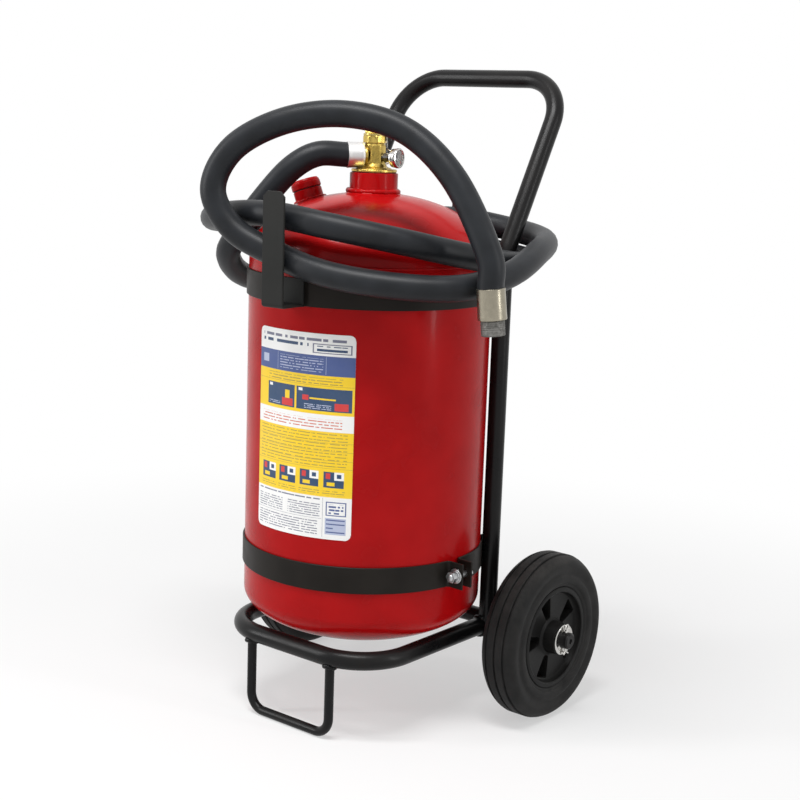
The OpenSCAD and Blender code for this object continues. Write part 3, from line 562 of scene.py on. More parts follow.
red_paint = paint("red_paint", (0.41, 0.0035, 0.0045, 1.0), (0.36, 0.0025, 0.0035, 1.0), 0.25, 0.06,
                  peel=420.0, peel_depth=0.00008, dust=0.015, specular=0.07)
black_paint = paint("black_paint", (0.0060, 0.0060, 0.0065, 1.0), (0.0085, 0.0080, 0.0080, 1.0), 0.30, 0.0,
                    peel=700.0, peel_depth=0.00003, dust=0.02, specular=0.16)
band_paint = paint("band_paint", (0.0100, 0.0080, 0.0065, 1.0), (0.0140, 0.0115, 0.0095, 1.0), 0.46, 0.0,
                   peel=900.0, dust=0.04, specular=0.12)
hook_paint = paint("hook_paint", (0.0160, 0.0165, 0.0155, 1.0), (0.0200, 0.0200, 0.0190, 1.0), 0.48, 0.0,
                   peel=1200.0, dust=0.04, specular=0.12)
lever_red = paint("lever_red", (0.50, 0.012, 0.010, 1.0), (0.40, 0.010, 0.008, 1.0), 0.3, 0.2, specular=0.3)
zinc = metal("zinc", (0.46, 0.47, 0.48, 1.0), (0.28, 0.28, 0.26, 1.0), 0.30, blotch=400.0)
chrome = metal("chrome", (0.58, 0.57, 0.55, 1.0), (0.34, 0.32, 0.29, 1.0), 0.14, blotch=120.0, depth=0.000004)
dark_chrome = metal("dark_chrome", (0.16, 0.155, 0.15, 1.0), (0.07, 0.065, 0.06, 1.0), 0.20,
                    blotch=250.0, depth=0.000005)
steel = metal("steel", (0.55, 0.55, 0.56, 1.0), (0.35, 0.34, 0.33, 1.0), 0.35)
aluminium = metal("aluminium", (0.72, 0.715, 0.71, 1.0), (0.50, 0.49, 0.49, 1.0), 0.42,
                  stretch=(1.0, 1.0, 0.1), scale=500.0, tarnish=0.5)
nickel = metal("nickel", (0.33, 0.30, 0.235, 1.0), (0.18, 0.165, 0.13, 1.0), 0.26, stretch=(1.0, 1.0, 0.1),
               scale=700.0, blotch=120.0)
raw_steel = metal("raw_steel", (0.18, 0.175, 0.165, 1.0), (0.10, 0.098, 0.09, 1.0), 0.55, blotch=300.0,
                  depth=0.0002, tarnish=0.8)
yellow_zinc = metal("yellow_zinc", (0.52, 0.40, 0.14, 1.0), (0.34, 0.26, 0.09, 1.0), 0.30, blotch=300.0)
brass = metal("brass", (0.60, 0.43, 0.11, 1.0), (0.34, 0.23, 0.05, 1.0), 0.24, blotch=180.0, depth=0.00008,
              tarnish=0.6)
hose_rubber = moulded("hose_rubber", (0.0095, 0.0108, 0.0130, 1.0), (0.0150, 0.0170, 0.0205, 1.0), 0.42,
                      dust=0.03, specular=0.22)
tyre_rubber = moulded("tyre_rubber", (0.008, 0.008, 0.008, 1.0), (0.015, 0.015, 0.015, 1.0), 0.60, dust=0.15,
                      grain_scale=900.0, depth=0.0002, specular=0.14)
wheel_plastic = moulded("wheel_plastic", (0.006, 0.006, 0.006, 1.0), (0.009, 0.009, 0.0085, 1.0), 0.42,
                        dust=0.04, specular=0.12)
bush_plastic = moulded("bush_plastic", (0.62, 0.60, 0.52, 1.0), (0.52, 0.50, 0.43, 1.0), 0.4, dust=0.1)
seal_rubber = moulded("seal_rubber", (0.012, 0.012, 0.012, 1.0), (0.02, 0.02, 0.02, 1.0), 0.7)
black_grip = moulded("black_grip", (0.010, 0.010, 0.011, 1.0), (0.015, 0.015, 0.015, 1.0), 0.4, specular=0.2)


# ---- Hose ----

# Points along the middle of the hose, round the tank's axis, in metres
HOSE_ROUTE = [
    (-0.020, -0.026, 0.662), (-0.040, -0.052, 0.662), (-0.058, -0.072, 0.648), (-0.078, -0.088, 0.621),
    (-0.108, -0.107, 0.573), (-0.143, -0.093, 0.538), (-0.170, -0.030, 0.507), (-0.168, 0.060, 0.503),
    (-0.118, 0.150, 0.531), (-0.006, 0.163, 0.552), (0.080, 0.168, 0.545), (0.139, 0.121, 0.545),
    (0.161, 0.059, 0.547), (0.158, -0.030, 0.561), (0.128, -0.098, 0.576), (0.066, -0.147, 0.590),
    (-0.012, -0.157, 0.598), (-0.087, -0.147, 0.593), (-0.156, -0.105, 0.582), (-0.184, -0.010, 0.572),
    (-0.178, 0.092, 0.572), (-0.118, 0.154, 0.576), (-0.006, 0.163, 0.584), (0.080, 0.176, 0.575),
    (0.150, 0.136, 0.569), (0.188, 0.066, 0.561), (0.203, -0.006, 0.543), (0.188, -0.069, 0.531),
    (0.140, -0.118, 0.531), (0.070, -0.152, 0.539), (0.006, -0.163, 0.555), (-0.044, -0.182, 0.580),
    (-0.068, -0.191, 0.622), (-0.050, -0.178, 0.668), (0.000, -0.150, 0.699), (0.060, -0.118, 0.708),
    (0.120, -0.090, 0.692), (0.176, -0.077, 0.645), (0.220, -0.070, 0.570), (0.223, -0.068, 0.534),
]
HOSE_DIAMETER = 0.029


def make_hose():
    points = [tank_axis + Vector(p) for p in HOSE_ROUTE]
    line = bpy.data.curves.new("hose", "CURVE")
    line.dimensions = "3D"
    line.resolution_u = 14
    line.bevel_depth = HOSE_DIAMETER / 2
    line.bevel_resolution = 7
    line.use_fill_caps = True
    spline = line.splines.new("BEZIER")
    spline.bezier_points.add(len(points) - 1)
    last = len(points) - 1
    for i, point in enumerate(points):
        before = points[i - 1] if i else 2 * points[0] - points[1]
        after = points[i + 1] if i < last else 2 * points[last] - points[last - 1]
        slope = (after - before) / 6
        knot = spline.bezier_points[i]
        knot.handle_left_type = knot.handle_right_type = "FREE"
        knot.co, knot.handle_left, knot.handle_right = point, point - slope, point + slope
    hose = bpy.data.objects.new("hose_line", line)
    bpy.context.scene.collection.objects.link(hose)
    return hose


hose = make_hose()
dress(hose, hose_rubber, "trolley", "hose", slot="hose_rubber")


# ---- Tank, neck, filler ----

TANK_WALL = 2.5
BOTTOM_DOME = 52
TOP_DOME = 75
NECK_RISE = 22.4
LIP_FILLET = 5
LIP_WALL = 2
NECK_WALL = 8
NECK_GAP = 0.05
# How far the filler is from the tank's axis, its own radius and bore, and how high its neck and cap rise
FILLER_OUT = 80
FILLER_R = 17.0
FILLER_BORE = 12
FILLER_TURN = -161
FILLER_RISE = 12
CAP_GAP = 1

tank_mm = tank_r / MM
neck_r = extent("neck_collar").x / 2 / MM
neck_top = highest("neck_collar").z
crown = neck_top / MM - NECK_RISE
top_edge = crown - TOP_DOME
bottom_edge = lowest("tank_shell").z / MM + BOTTOM_DOME


def dome_height(r):
    return top_edge + TOP_DOME * math.sqrt(1 - (r / tank_mm) ** 2)


def arc(centre_r, centre_z, wide, tall, start, end, steps):
    """Points of an oval arc for turned(), from one angle to another."""
    points = []
    for i in range(steps + 1):
        a = math.radians(start + (end - start) * i / steps)
        points.append((centre_r + wide * math.cos(a), centre_z + tall * math.sin(a)))
    return points


def make_tank():
    lip = neck_r + LIP_WALL
    flare = lip + LIP_FILLET
    foot = dome_height(flare) + LIP_FILLET
    inner = tank_mm - TANK_WALL
    hole = neck_r + NECK_GAP
    flare_angle = math.degrees(math.acos(flare / tank_mm))
    hole_angle = math.degrees(math.acos(hole / inner))
    outline = arc(0, bottom_edge, tank_mm, BOTTOM_DOME, -90, 0, 22)
    outline += arc(0, top_edge, tank_mm, TOP_DOME, 0, flare_angle, 22)
    outline += arc(flare, foot, LIP_FILLET, LIP_FILLET, 264, 180, 8) + [(hole, foot)]
    outline += arc(0, top_edge, inner, TOP_DOME - TANK_WALL, hole_angle, 0, 10)
    outline += arc(0, bottom_edge, inner, BOTTOM_DOME - TANK_WALL, 0, -90, 10)
    tank = place(turned("tank", outline, steps=160), tank_axis)
    dress(finish_mesh(tank), red_paint, "trolley", "tank_shell", slot="red_paint")
    girth = weld("girth_bead", round_tank(0, 0, top_edge * MM), Z, tank_mm - 0.7, 1.3, ripples=150)
    neck = weld("neck_bead", round_tank(0, 0, (foot - 1.5) * MM), Z, neck_r + 1.0, 2.9, ripples=27, rough=0.9)
    dress(joined("tank_welds", girth, neck), red_paint, "trolley", slot="red_paint")


def make_neck():
    low, high = lowest("neck_collar").z / MM, neck_top / MM
    bore = neck_r - NECK_WALL
    outline = [(bore, low), (neck_r - 1, low), (neck_r, low + 1), (neck_r, high - 1.2),
               (neck_r - 0.4, high - 0.4), (neck_r - 1.2, high), (bore, high)]
    neck = place(turned("neck", outline, steps=96, hollow=True), tank_axis)
    dress(finish_mesh(neck), red_paint, "trolley", "neck_collar", slot="red_paint")


def make_filler():
    tilt = math.atan2(FILLER_OUT / tank_mm ** 2, (dome_height(FILLER_OUT) - top_edge) / TOP_DOME ** 2)
    out = direction(FILLER_TURN) * math.sin(tilt) + Z * math.cos(tilt)
    seat = round_tank(FILLER_TURN, FILLER_OUT * MM, dome_height(FILLER_OUT) * MM)
    r = FILLER_R
    boss = turned("filler_neck", [(FILLER_BORE, -9), (r, -9), (r, FILLER_RISE - 0.6), (r - 0.6, FILLER_RISE),
                                  (FILLER_BORE, FILLER_RISE)], steps=72, hollow=True)
    dress(finish_mesh(place(boss, seat, out)), red_paint, "trolley", "filler_boss", slot="red_paint")
    bead = weld("filler_weld", seat - out * 0.4 * MM, out, r + 0.9, 2.0, ripples=23)
    dress(bead, red_paint, "trolley", slot="red_paint")
    low, high = FILLER_RISE + CAP_GAP, FILLER_RISE + 12
    plug = FILLER_BORE - 0.1
    outline = [(0, 3), (plug, 3), (plug, low), (r - 0.4, low), (r + 0.6, low + 0.8), (r + 0.6, low + 6.6),
               (r + 0.2, low + 7.0), (r + 0.2, low + 7.6), (r - 0.2, low + 9.0), (r - 1.6, high), (12, high),
               (11, high - 0.8), (0, high - 0.8)]
    cap = place(turned("filler_plug", outline, steps=72), seat, out)
    dress(finish_mesh(cap), red_paint, "trolley", "filler_cap", slot="red_paint")


make_tank()
make_neck()
make_filler()


# ---- Label ----

LABEL_TURN = -81.4
LABEL_SPAN = 52.7
LABEL_THICK = 0.4
LABEL_CORNER = 7.0
LABEL_GAP = 0.05
# Degrees at each side of the sheet that are laid in finer steps, for its round corners
LABEL_EDGE = 3.5

label_low, label_high = lowest("label_plate").z, highest("label_plate").z


def make_label():
    height = (label_high - label_low) / MM
    r = tank_mm + LABEL_THICK / 2 + LABEL_GAP
    start = LABEL_TURN - LABEL_SPAN / 2
    inward = -direction(start)
    middle_z = (label_low + label_high) / 2
    turn = Matrix.Rotation(math.radians(LABEL_EDGE), 3, "Z")
    far = Matrix.Rotation(math.radians(LABEL_SPAN - LABEL_EDGE), 3, "Z")
    label = swept("label_sheet", strip(height, LABEL_THICK, corner=0.05), round_tank(start, r * MM, middle_z),
                  direction(start + 90), Z, [
                      ("bend", LABEL_EDGE, r, inward, 10),
                      ("bend", LABEL_SPAN - 2 * LABEL_EDGE, r, turn @ inward, 36),
                      ("bend", LABEL_EDGE, r, far @ inward, 10)])
    length = math.radians(LABEL_SPAN) * r
    for v in label.data.vertices:
        p = v.co - tank_axis
        along = math.radians(math.degrees(math.atan2(p.y, p.x)) - start) * r
        near = min(along, length - along)
        room = LABEL_CORNER - max(0.0, min(near, LABEL_CORNER))
        reach = height / 2 - LABEL_CORNER + math.sqrt(max(0.0, LABEL_CORNER ** 2 - room ** 2))
        v.co.z = middle_z + max(-reach, min(reach, (v.co.z - middle_z) / MM)) * MM
    dress(finish_mesh(label), label_print(), "trolley", "label_plate", slot="label")


def label_print():
    """The printed sheet: coloured fields, two plain pictures, four squares, and rows of dashes."""
    material, tree, shader, at = new_material("label_print")
    axes = node(tree, "SeparateXYZ", {0: at})
    x = maths(tree, "SUBTRACT", axes.outputs["X"], tank_axis.x)
    y = maths(tree, "SUBTRACT", axes.outputs["Y"], tank_axis.y)
    angle = maths(tree, "ARCTAN2", y, x)
    start = math.radians(LABEL_TURN - LABEL_SPAN / 2)
    across = spread(tree, angle, start, start + math.radians(LABEL_SPAN))
    down = spread(tree, axes.outputs["Z"], label_high, label_low)

    def panel(left, right, top, bottom):
        return use(tree, PANEL, Across=across, Down=down, Left=left, Right=right, Top=top,
                   Bottom=bottom).outputs[0]

    def rows(left, right, top, bottom, pitch, weight, dash):
        lines = use(tree, ROWS, Across=across, Down=down, Pitch=pitch, Weight=weight, Dash_scale=dash)
        return maths(tree, "MULTIPLY", lines.outputs[0], panel(left, right, top, bottom))

    white, blue, yellow = (0.88, 0.88, 0.87, 1.0), (0.051, 0.089, 0.262, 1.0), (0.90, 0.61, 0.010, 1.0)
    deep, ink, warm = (0.012, 0.050, 0.130, 1.0), (0.16, 0.17, 0.24, 1.0), (0.60, 0.12, 0.06, 1.0)
    red, pale, brown = (0.62, 0.03, 0.03, 1.0), (0.45, 0.50, 0.66, 1.0), (0.42, 0.30, 0.05, 1.0)
    layers = [
        (panel(0, 1, 0.105, 0.200), blue),
        (panel(0, 1, 0.200, 0.388), yellow),
        (panel(0, 1, 0.470, 0.790), yellow),
        (rows(0.05, 0.92, 0.022, 0.046, 0.024, 0.55, 22.0), ink),
        (rows(0.05, 0.58, 0.050, 0.072, 0.024, 0.7, 16.0), deep),
        (panel(0.62, 0.97, 0.048, 0.094), ink),
        (panel(0.632, 0.958, 0.0525, 0.0895), white),
        (rows(0.66, 0.93, 0.058, 0.084, 0.024, 0.6, 14.0), deep),
        (rows(0.28, 0.72, 0.120, 0.185, 0.013, 0.35, 40.0), pale),
        (panel(0.25, 0.253, 0.110, 0.195), pale),
        (panel(0.745, 0.748, 0.110, 0.195), pale),
        (panel(0.05, 0.13, 0.130, 0.170), pale),
        (rows(0.14, 0.90, 0.212, 0.245, 0.014, 0.35, 34.0), brown),
        (panel(0, 1, 0.2485, 0.2500), brown),
        (panel(0.13, 0.45, 0.262, 0.372), deep),
        (panel(0.47, 0.98, 0.262, 0.372), deep),
        (panel(0.15, 0.19, 0.268, 0.282), white),
        (panel(0.49, 0.53, 0.268, 0.282), white),
        (panel(0.31, 0.43, 0.330, 0.366), red),
        (panel(0.345, 0.395, 0.290, 0.330), yellow),
        (panel(0.83, 0.95, 0.330, 0.366), red),
        (panel(0.60, 0.84, 0.310, 0.318), yellow),
        (panel(0.53, 0.59, 0.300, 0.325), red),
        (rows(0.15, 0.29, 0.348, 0.366, 0.008, 0.45, 60.0), pale),
        (rows(0.55, 0.80, 0.338, 0.366, 0.009, 0.45, 60.0), pale),
        (rows(0.06, 0.90, 0.410, 0.462, 0.0145, 0.33, 36.0), warm),
        (rows(0.04, 0.95, 0.480, 0.640, 0.0155, 0.28, 38.0), brown),
        (panel(0, 1, 0.5230, 0.5245), brown),
        (panel(0, 1, 0.5650, 0.5665), brown),
        (panel(0, 1, 0.6100, 0.6115), brown),
        (panel(0, 1, 0.6480, 0.6495), brown),
    ]
    for i in range(4):
        left = 0.07 + i * 0.226
        layers += [
            (panel(left, left + 0.18, 0.665, 0.743), deep),
            (panel(left + 0.095, left + 0.18, 0.665, 0.705), white),
            (panel(left + 0.118, left + 0.157, 0.675, 0.695), deep),
            (panel(left + 0.02, left + 0.06, 0.672, 0.700), red),
            (panel(left + 0.03, left + 0.10, 0.716, 0.734), yellow),
            (rows(left - 0.01, left + 0.19, 0.752, 0.782, 0.011, 0.35, 40.0), brown)]
    layers += [
        (rows(0.03, 0.72, 0.800, 0.812, 0.014, 0.6, 30.0), ink),
        (rows(0.03, 0.34, 0.822, 0.890, 0.0115, 0.38, 44.0), ink),
        (rows(0.40, 0.72, 0.822, 0.890, 0.0115, 0.38, 52.0), ink),
        (panel(0, 0.74, 0.8990, 0.9005), ink),
        (rows(0.03, 0.70, 0.908, 0.985, 0.0125, 0.36, 40.0), ink),
        (panel(0.745, 0.748, 0.795, 0.990), ink),
        (panel(0.775, 0.955, 0.812, 0.882), blue),
        (panel(0.785, 0.945, 0.817, 0.877), white),
        (rows(0.80, 0.93, 0.824, 0.872, 0.016, 0.55, 22.0), blue),
        (panel(0.77, 0.955, 0.893, 0.975), pale),
        (rows(0.78, 0.945, 0.896, 0.972, 0.02, 0.30, 3.0), blue),
    ]
    colour = node(tree, "RGB").outputs[0]
    colour.default_value = white
    for mask, ink_colour in layers:
        colour = mixed(tree, mask, colour, ink_colour)
    grain = use(tree, GRAIN, Vector=at, Scale=500.0, Wave_scale=25.0, Wave_share=0.6)
    settled = use(tree, DUST, Vector=at, Amount=0.12, On_sides=0.5, Patch_scale=25.0)
    put(tree, shader, Base_Color=mixed(tree, settled.outputs[0], colour, LABEL_DUST),
        Roughness=spread(tree, grain.outputs["Wave"], 0.3, 0.7, 0.34, 0.46),
        Normal=bumped(tree, grain.outputs["Height"], 0.3, 0.00004))
    return material


make_label()


# ---- Bands and their clamps ----

STRAP = 2.4
STRAP_BEND = 5.0
EAR_REACH = 23.0
EAR_MIDDLE = 7.8
# The clamp's bolt: how far it sits inside the ears' ends, half its grip, and its own and its heads' sizes
BOLT_INSET = 9
CLAMP_FACE = 9.05
BOLT_R = 4.0
BOLT_FOOT = -21.0
BOLT_HEAD = 5.2
NUT_LOW, NUT_HIGH = -19.0, -12.4
WASHER_BORE = 4.2
HEAD_R = 7.4
HEAD_ACROSS = 11.8
BAND_CLAMPS = {"upper_band": 90, "lower_band": -3}


def make_band(node_name, clamp_turn):
    low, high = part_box(node_name)
    width = (high.z - low.z) / MM
    r = tank_mm + STRAP / 2
    bend_out = r + STRAP_BEND
    slip = math.degrees(math.asin((EAR_MIDDLE + STRAP_BEND) / bend_out))
    reach = tank_mm + EAR_REACH
    run = reach - bend_out * math.cos(math.radians(slip))
    out, beside = direction(clamp_turn), direction(clamp_turn + 90)
    start = tank_axis + out * reach * MM + beside * EAR_MIDDLE * MM + Z * (low.z + high.z) / 2
    band = swept(node_name.replace("_", "_strap_"), strip(width, STRAP, corner=0.5), start, -out, Z, [
        ("run", run), ("bend", 90 - slip, STRAP_BEND, beside),
        ("bend", 360 - 2 * slip, r, -direction(clamp_turn + slip), 144),
        ("bend", 90 - slip, STRAP_BEND, direction(clamp_turn - slip)), ("run", run)])
    dress(finish_mesh(band, smooth=30), band_paint, "trolley", node_name, slot="black_paint")


def threaded(r, low, high, pitch=1.25, depth=0.45):
    """Outline of a threaded stretch, one ridge to a turn."""
    turns = int((high - low) / pitch)
    outline = []
    for i in range(turns):
        z = low + i * pitch
        outline += [(r - depth, z), (r, z + pitch * 0.35), (r, z + pitch * 0.6)]
    return outline + [(r - depth, high)]


def nut_outline(r, low, high):
    """Outline of a nut or a bolt's head, its outer edges cut off."""
    back, up = 0.9, 0.54
    return [(0, low), (r - back, low), (r, low + up), (r, high - up), (r - back, high), (0, high)]


def make_clamp(band, clamp_turn):
    bolt_mid = tank_axis + direction(clamp_turn) * (tank_mm + EAR_REACH - BOLT_INSET) * MM
    bolt_mid.z = middle(band + "_nut").z
    head = turned(band + "_head", nut_outline(HEAD_R, CLAMP_FACE, CLAMP_FACE + BOLT_HEAD), steps=48)
    hexagonal(head, HEAD_ACROSS)
    shank = turned(band + "_thread", [(0, BOLT_FOOT), (BOLT_R - 1, BOLT_FOOT)]
                   + threaded(BOLT_R, BOLT_FOOT + 0.4, -CLAMP_FACE)
                   + [(BOLT_R - 0.1, CLAMP_FACE), (0, CLAMP_FACE)], steps=32)
    bolt = joined(band + "_bolt_set", head, shank)
    nut = turned(band + "_nut_body", nut_outline(HEAD_R, NUT_LOW, NUT_HIGH), steps=48)
    hexagonal(nut, HEAD_ACROSS)
    large = turned(band + "_large_washer", washer_outline(WASHER_BORE, 8.8, -10.7, -9.1, 0.4, 0.3), steps=48,
                   hollow=True)
    small = turned(band + "_spring_washer", washer_outline(WASHER_BORE, 7.4, -12.35, -10.75, 0.3, 0.35),
                   steps=48, hollow=True)
    washers = joined(band + "_washer_pair", large, small)
    for piece, node_name in ((bolt, "_bolt"), (nut, "_nut"), (washers, "_washers")):
        place(piece, bolt_mid, direction(clamp_turn + 90))
        finish_mesh(soften(piece, 0.0002, 1), smooth=30)
        dress(piece, zinc, "trolley", band + node_name, slot="zinc_steel")


for band_name, band_turn in BAND_CLAMPS.items():
    make_band(band_name, band_turn)
    make_clamp(band_name, band_turn)


# ---- Hose hooks ----

HOOK_TURNS = {"front_hook": -84.9, "rear_hook": 92.5}
HOOK_WIDTH = 29.0
HOOK_THICK = 3.0
HOOK_REACH = 41.5
HOOK_BEND = 3.5
HOOK_CHAMFER = 6.0
HOOK_GAP = 0.1
# The front hook's flange lies on the band: its height, and how far it starts below the band
FLANGE_HEIGHT = 30.6
FLANGE_BELOW = 0.3


def make_hook(node_name, turn):
    low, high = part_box(node_name)
    out, beside = direction(turn), direction(turn + 90)
    plate = HOOK_REACH - HOOK_THICK / 2
    rise = (high.z - low.z) / MM - HOOK_THICK / 2 - HOOK_BEND
    hook = swept(node_name.replace("hook", "hose_hook"), strip(HOOK_WIDTH, HOOK_THICK, corner=0.5),
                 tank_axis + out * (tank_r + HOOK_GAP * MM) + Z * (low.z + HOOK_THICK / 2 * MM), out, beside,
                 [("run", plate - HOOK_BEND - HOOK_GAP), ("bend", 90, HOOK_BEND, Z), ("run", rise)])
    top = tank_axis + out * (tank_r + plate * MM) + Z * high.z
    edit(hook)
    for side in (-1, 1):
        bpy.ops.mesh.select_all(action="SELECT")
        corner = top + beside * side * (HOOK_WIDTH / 2 - HOOK_CHAMFER) * MM
        bpy.ops.mesh.bisect(plane_co=corner, plane_no=(beside * side + Z).normalized(), use_fill=True,
                            clear_outer=True)
    close_up()
    if node_name == "front_hook":
        foot = tank_axis + out * (tank_r + (STRAP + HOOK_THICK / 2 + HOOK_GAP) * MM)
        foot.z = lowest("upper_band").z - FLANGE_BELOW * MM
        flange = swept("hook_flange", strip(HOOK_WIDTH, HOOK_THICK, corner=0.5), foot, Z, beside,
                       [("run", FLANGE_HEIGHT)])
        hook = joined(node_name.replace("hook", "hose_hook"), hook, flange)
    finish_mesh(soften(hook, 0.0003, 2, angle=40), smooth=12)
    dress(hook, hook_paint, "trolley", node_name, slot="hook_paint")


for hook_name, hook_turn in HOOK_TURNS.items():
    make_hook(hook_name, hook_turn)


# ---- Trolley ----

LEAN = 28.6
LEAN_BEND = 60.0
LEG = 163.5
CORNER_BEND = 58.0
HOOP_FRONT = 124.0
HOOP_X = 117.0
HOOP_BEND = 66.0
FOOT_X = 62.0
FOOT_BEND = 20.0
FOOT_R = 5.5
TUBE_SIDES = 40
# How thick the tube's wall is and how deep its open feet are, in metres
TUBE_WALL = 0.002
TUBE_OPEN = 0.03
# How far the beads between strap and tube are above and below the strap's middle, and how far the beads
# behind the axle stand off its tubes, in metres
STRAP_BEAD_OFF = 0.0152
AXLE_BEAD_OFF = 0.0002

tube_mm = tube_r / MM
upright_x = -middle("left_upright").x / MM
upright_y = lowest("left_upright").y + tube_r
upright_foot = lowest("left_upright").z
hoop_z = upright_foot + tube_r
axle_mid = middle("axle")


def make_handle():
    lean = math.radians(LEAN)
    back, over = Vector((0, math.sin(lean), math.cos(lean))), Vector((0, math.cos(lean), -math.sin(lean)))
    straight = ((highest("handle_bow").z - upright_foot) / MM - tube_mm - (LEG + CORNER_BEND) * math.cos(lean)
                - LEAN_BEND * math.sin(lean))
    span = 2 * (upright_x - CORNER_BEND)
    foot = Vector((-upright_x * MM, upright_y, upright_foot))
    frame_tube = swept("handle_frame", disc(tube_mm, TUBE_SIDES), foot, Z, X, [
        ("run", straight), ("bend", LEAN, LEAN_BEND, Y, 8), ("run", LEG), ("bend", 90, CORNER_BEND, X, 18),
        ("run", span), ("bend", 90, CORNER_BEND, -back, 18), ("run", LEG), ("bend", LEAN, LEAN_BEND, over, 8),
        ("run", straight)])
    hollow_ends(frame_tube, upright_foot)
    dress(finish_mesh(frame_tube), black_paint, "trolley", "left_upright", "right_upright", "handle_bow",
          slot="black_paint")


def hollow_ends(tube, height):
    """Opens the tube's two feet, so that its wall shows from below."""
    edit(tube, "FACE")
    bpy.ops.mesh.select_all(action="DESELECT")
    bpy.ops.object.mode_set(mode="OBJECT")
    for face in tube.data.polygons:
        face.select = abs(face.center.z - height) < 1e-5 and len(face.vertices) > 8
    bpy.ops.object.mode_set(mode="EDIT")
    bpy.ops.mesh.inset(thickness=TUBE_WALL, use_individual=True)
    bpy.ops.mesh.extrude_region_move(TRANSFORM_OT_translate={"value": (0, 0, TUBE_OPEN)})
    bpy.ops.object.mode_set(mode="OBJECT")


def make_base():
    side_run = (upright_y - tank_axis.y) / MM + HOOP_FRONT - HOOP_BEND
    hoop = swept("base_tube", disc(tube_mm, TUBE_SIDES), Vector((-HOOP_X * MM, upright_y, hoop_z)), -Y, X, [
        ("run", side_run), ("bend", 90, HOOP_BEND, X, 18), ("run", 2 * (HOOP_X - HOOP_BEND)),
        ("bend", 90, HOOP_BEND, Y, 18), ("run", side_run)])
    dress(finish_mesh(hoop), black_paint, "trolley", "base_hoop", slot="black_paint")
    front = tank_axis.y - HOOP_FRONT * MM
    drop = hoop_z / MM - FOOT_R - FOOT_BEND
    loop = swept("foot_rod", disc(FOOT_R, 28), Vector((-FOOT_X * MM, front, hoop_z)), -Z, X, [
        ("run", drop), ("bend", 90, FOOT_BEND, X, 14), ("run", 2 * (FOOT_X - FOOT_BEND)),
        ("bend", 90, FOOT_BEND, Z, 14), ("run", drop)])
    dress(finish_mesh(loop), black_paint, "trolley", "foot_loop", slot="black_paint")
    beads = []
    for side in (-1, 1):
        under = Vector((side * FOOT_X * MM, front, hoop_z - tube_r))
        beads.append(weld("foot_bead", under, -Z, FOOT_R + 0.6, 3.2, saddle=tube_mm, ripples=16, rough=0.4))
        joint = Vector((side * HOOP_X * MM, upright_y - tube_r, hoop_z))
        beads.append(weld("hoop_bead", joint, -Y, tube_mm + 0.2, 2.8, saddle=tube_mm, across=Z, ripples=30,
                          rough=0.4))
        crossing = Vector((side * upright_x * MM, upright_y + tube_r + AXLE_BEAD_OFF, axle_mid.z))
        beads.append(weld("axle_bead", crossing, Y, 7.5, 2.4, ripples=22))
        for band in BAND_CLAMPS:
            height = middle(band).z
            out = Vector((side * upright_x, (upright_y - tank_axis.y) / MM, 0)).normalized()
            for end in (-1, 1):
                spot = tank_axis + out * (tank_mm + 2) * MM + Z * (height + end * STRAP_BEAD_OFF)
                beads.append(weld("strap_bead", spot, out, 3.4, 1.7, ripples=9))
    dress(joined("trolley_welds", *beads), black_paint, "trolley", slot="black_paint")


make_handle()
make_base()


# ---- Axle ----

AXLE_R = 10.0
RING_BORE = AXLE_R + 0.1
SPACER_R = 13
SMALL_WASHER_R = 15.5
# The split pin: half its length, and the radius and wire of its eye
PIN_HALF = 13
EYE_R = 3.2
EYE_WIRE = 1.2


def make_axle():
    end = extent("axle").x / 2 / MM
    centre = Vector((0, axle_mid.y, axle_mid.z))
    shaft = turned("axle_shaft", [
        (0, -end), (AXLE_R - 2.0, -end), (AXLE_R, -end + 1.5), (AXLE_R, end - 1.5), (AXLE_R - 2.0, end),
        (3.2, end), (2.6, end - 2.0), (0, end - 3.2)], steps=56)
    place(shaft, centre, X)
    dress(finish_mesh(shaft), black_paint, "trolley", "axle", slot="black_paint")

    def rings(node_name, name, outline, material, slot):
        """A ring on the axle at +X and its mirror image at -X, joined to one piece."""
        pair = [place(turned(name, outline, steps=56, hollow=True), centre, X * side) for side in (1, -1)]
        dress(finish_mesh(joined(name, *pair), smooth=30), material, "trolley", node_name, slot=slot)

    hub_low, hub_high = lowest("right_hub").x / MM, highest("right_hub").x / MM
    spacer = washer_outline(RING_BORE, SPACER_R, upright_x + tube_mm, hub_low - 3, 0.6, 0.6)
    rings("axle_spacers", "spacer_tubes", spacer, black_paint, "black_paint")
    washer = washer_outline(RING_BORE, SMALL_WASHER_R, hub_low - 2.8, hub_low - 0.3, 0.3, 0.3)
    rings("inner_washers", "inner_washer_pair", washer, zinc, "zinc_steel")
    low = hub_high + 0.3
    dished = [(RING_BORE, low), (17.6, low), (18.5, low + 0.5), (18.5, low + 1.6), (17.8, low + 2.3),
              (16.6, low + 2.5), (14.6, low + 2.0), (12.6, low + 1.7), (RING_BORE + 0.4, low + 2.1),
              (RING_BORE, low + 1.9)]
    rings("hub_washers", "hub_washer_pair", dished, chrome, "chrome")


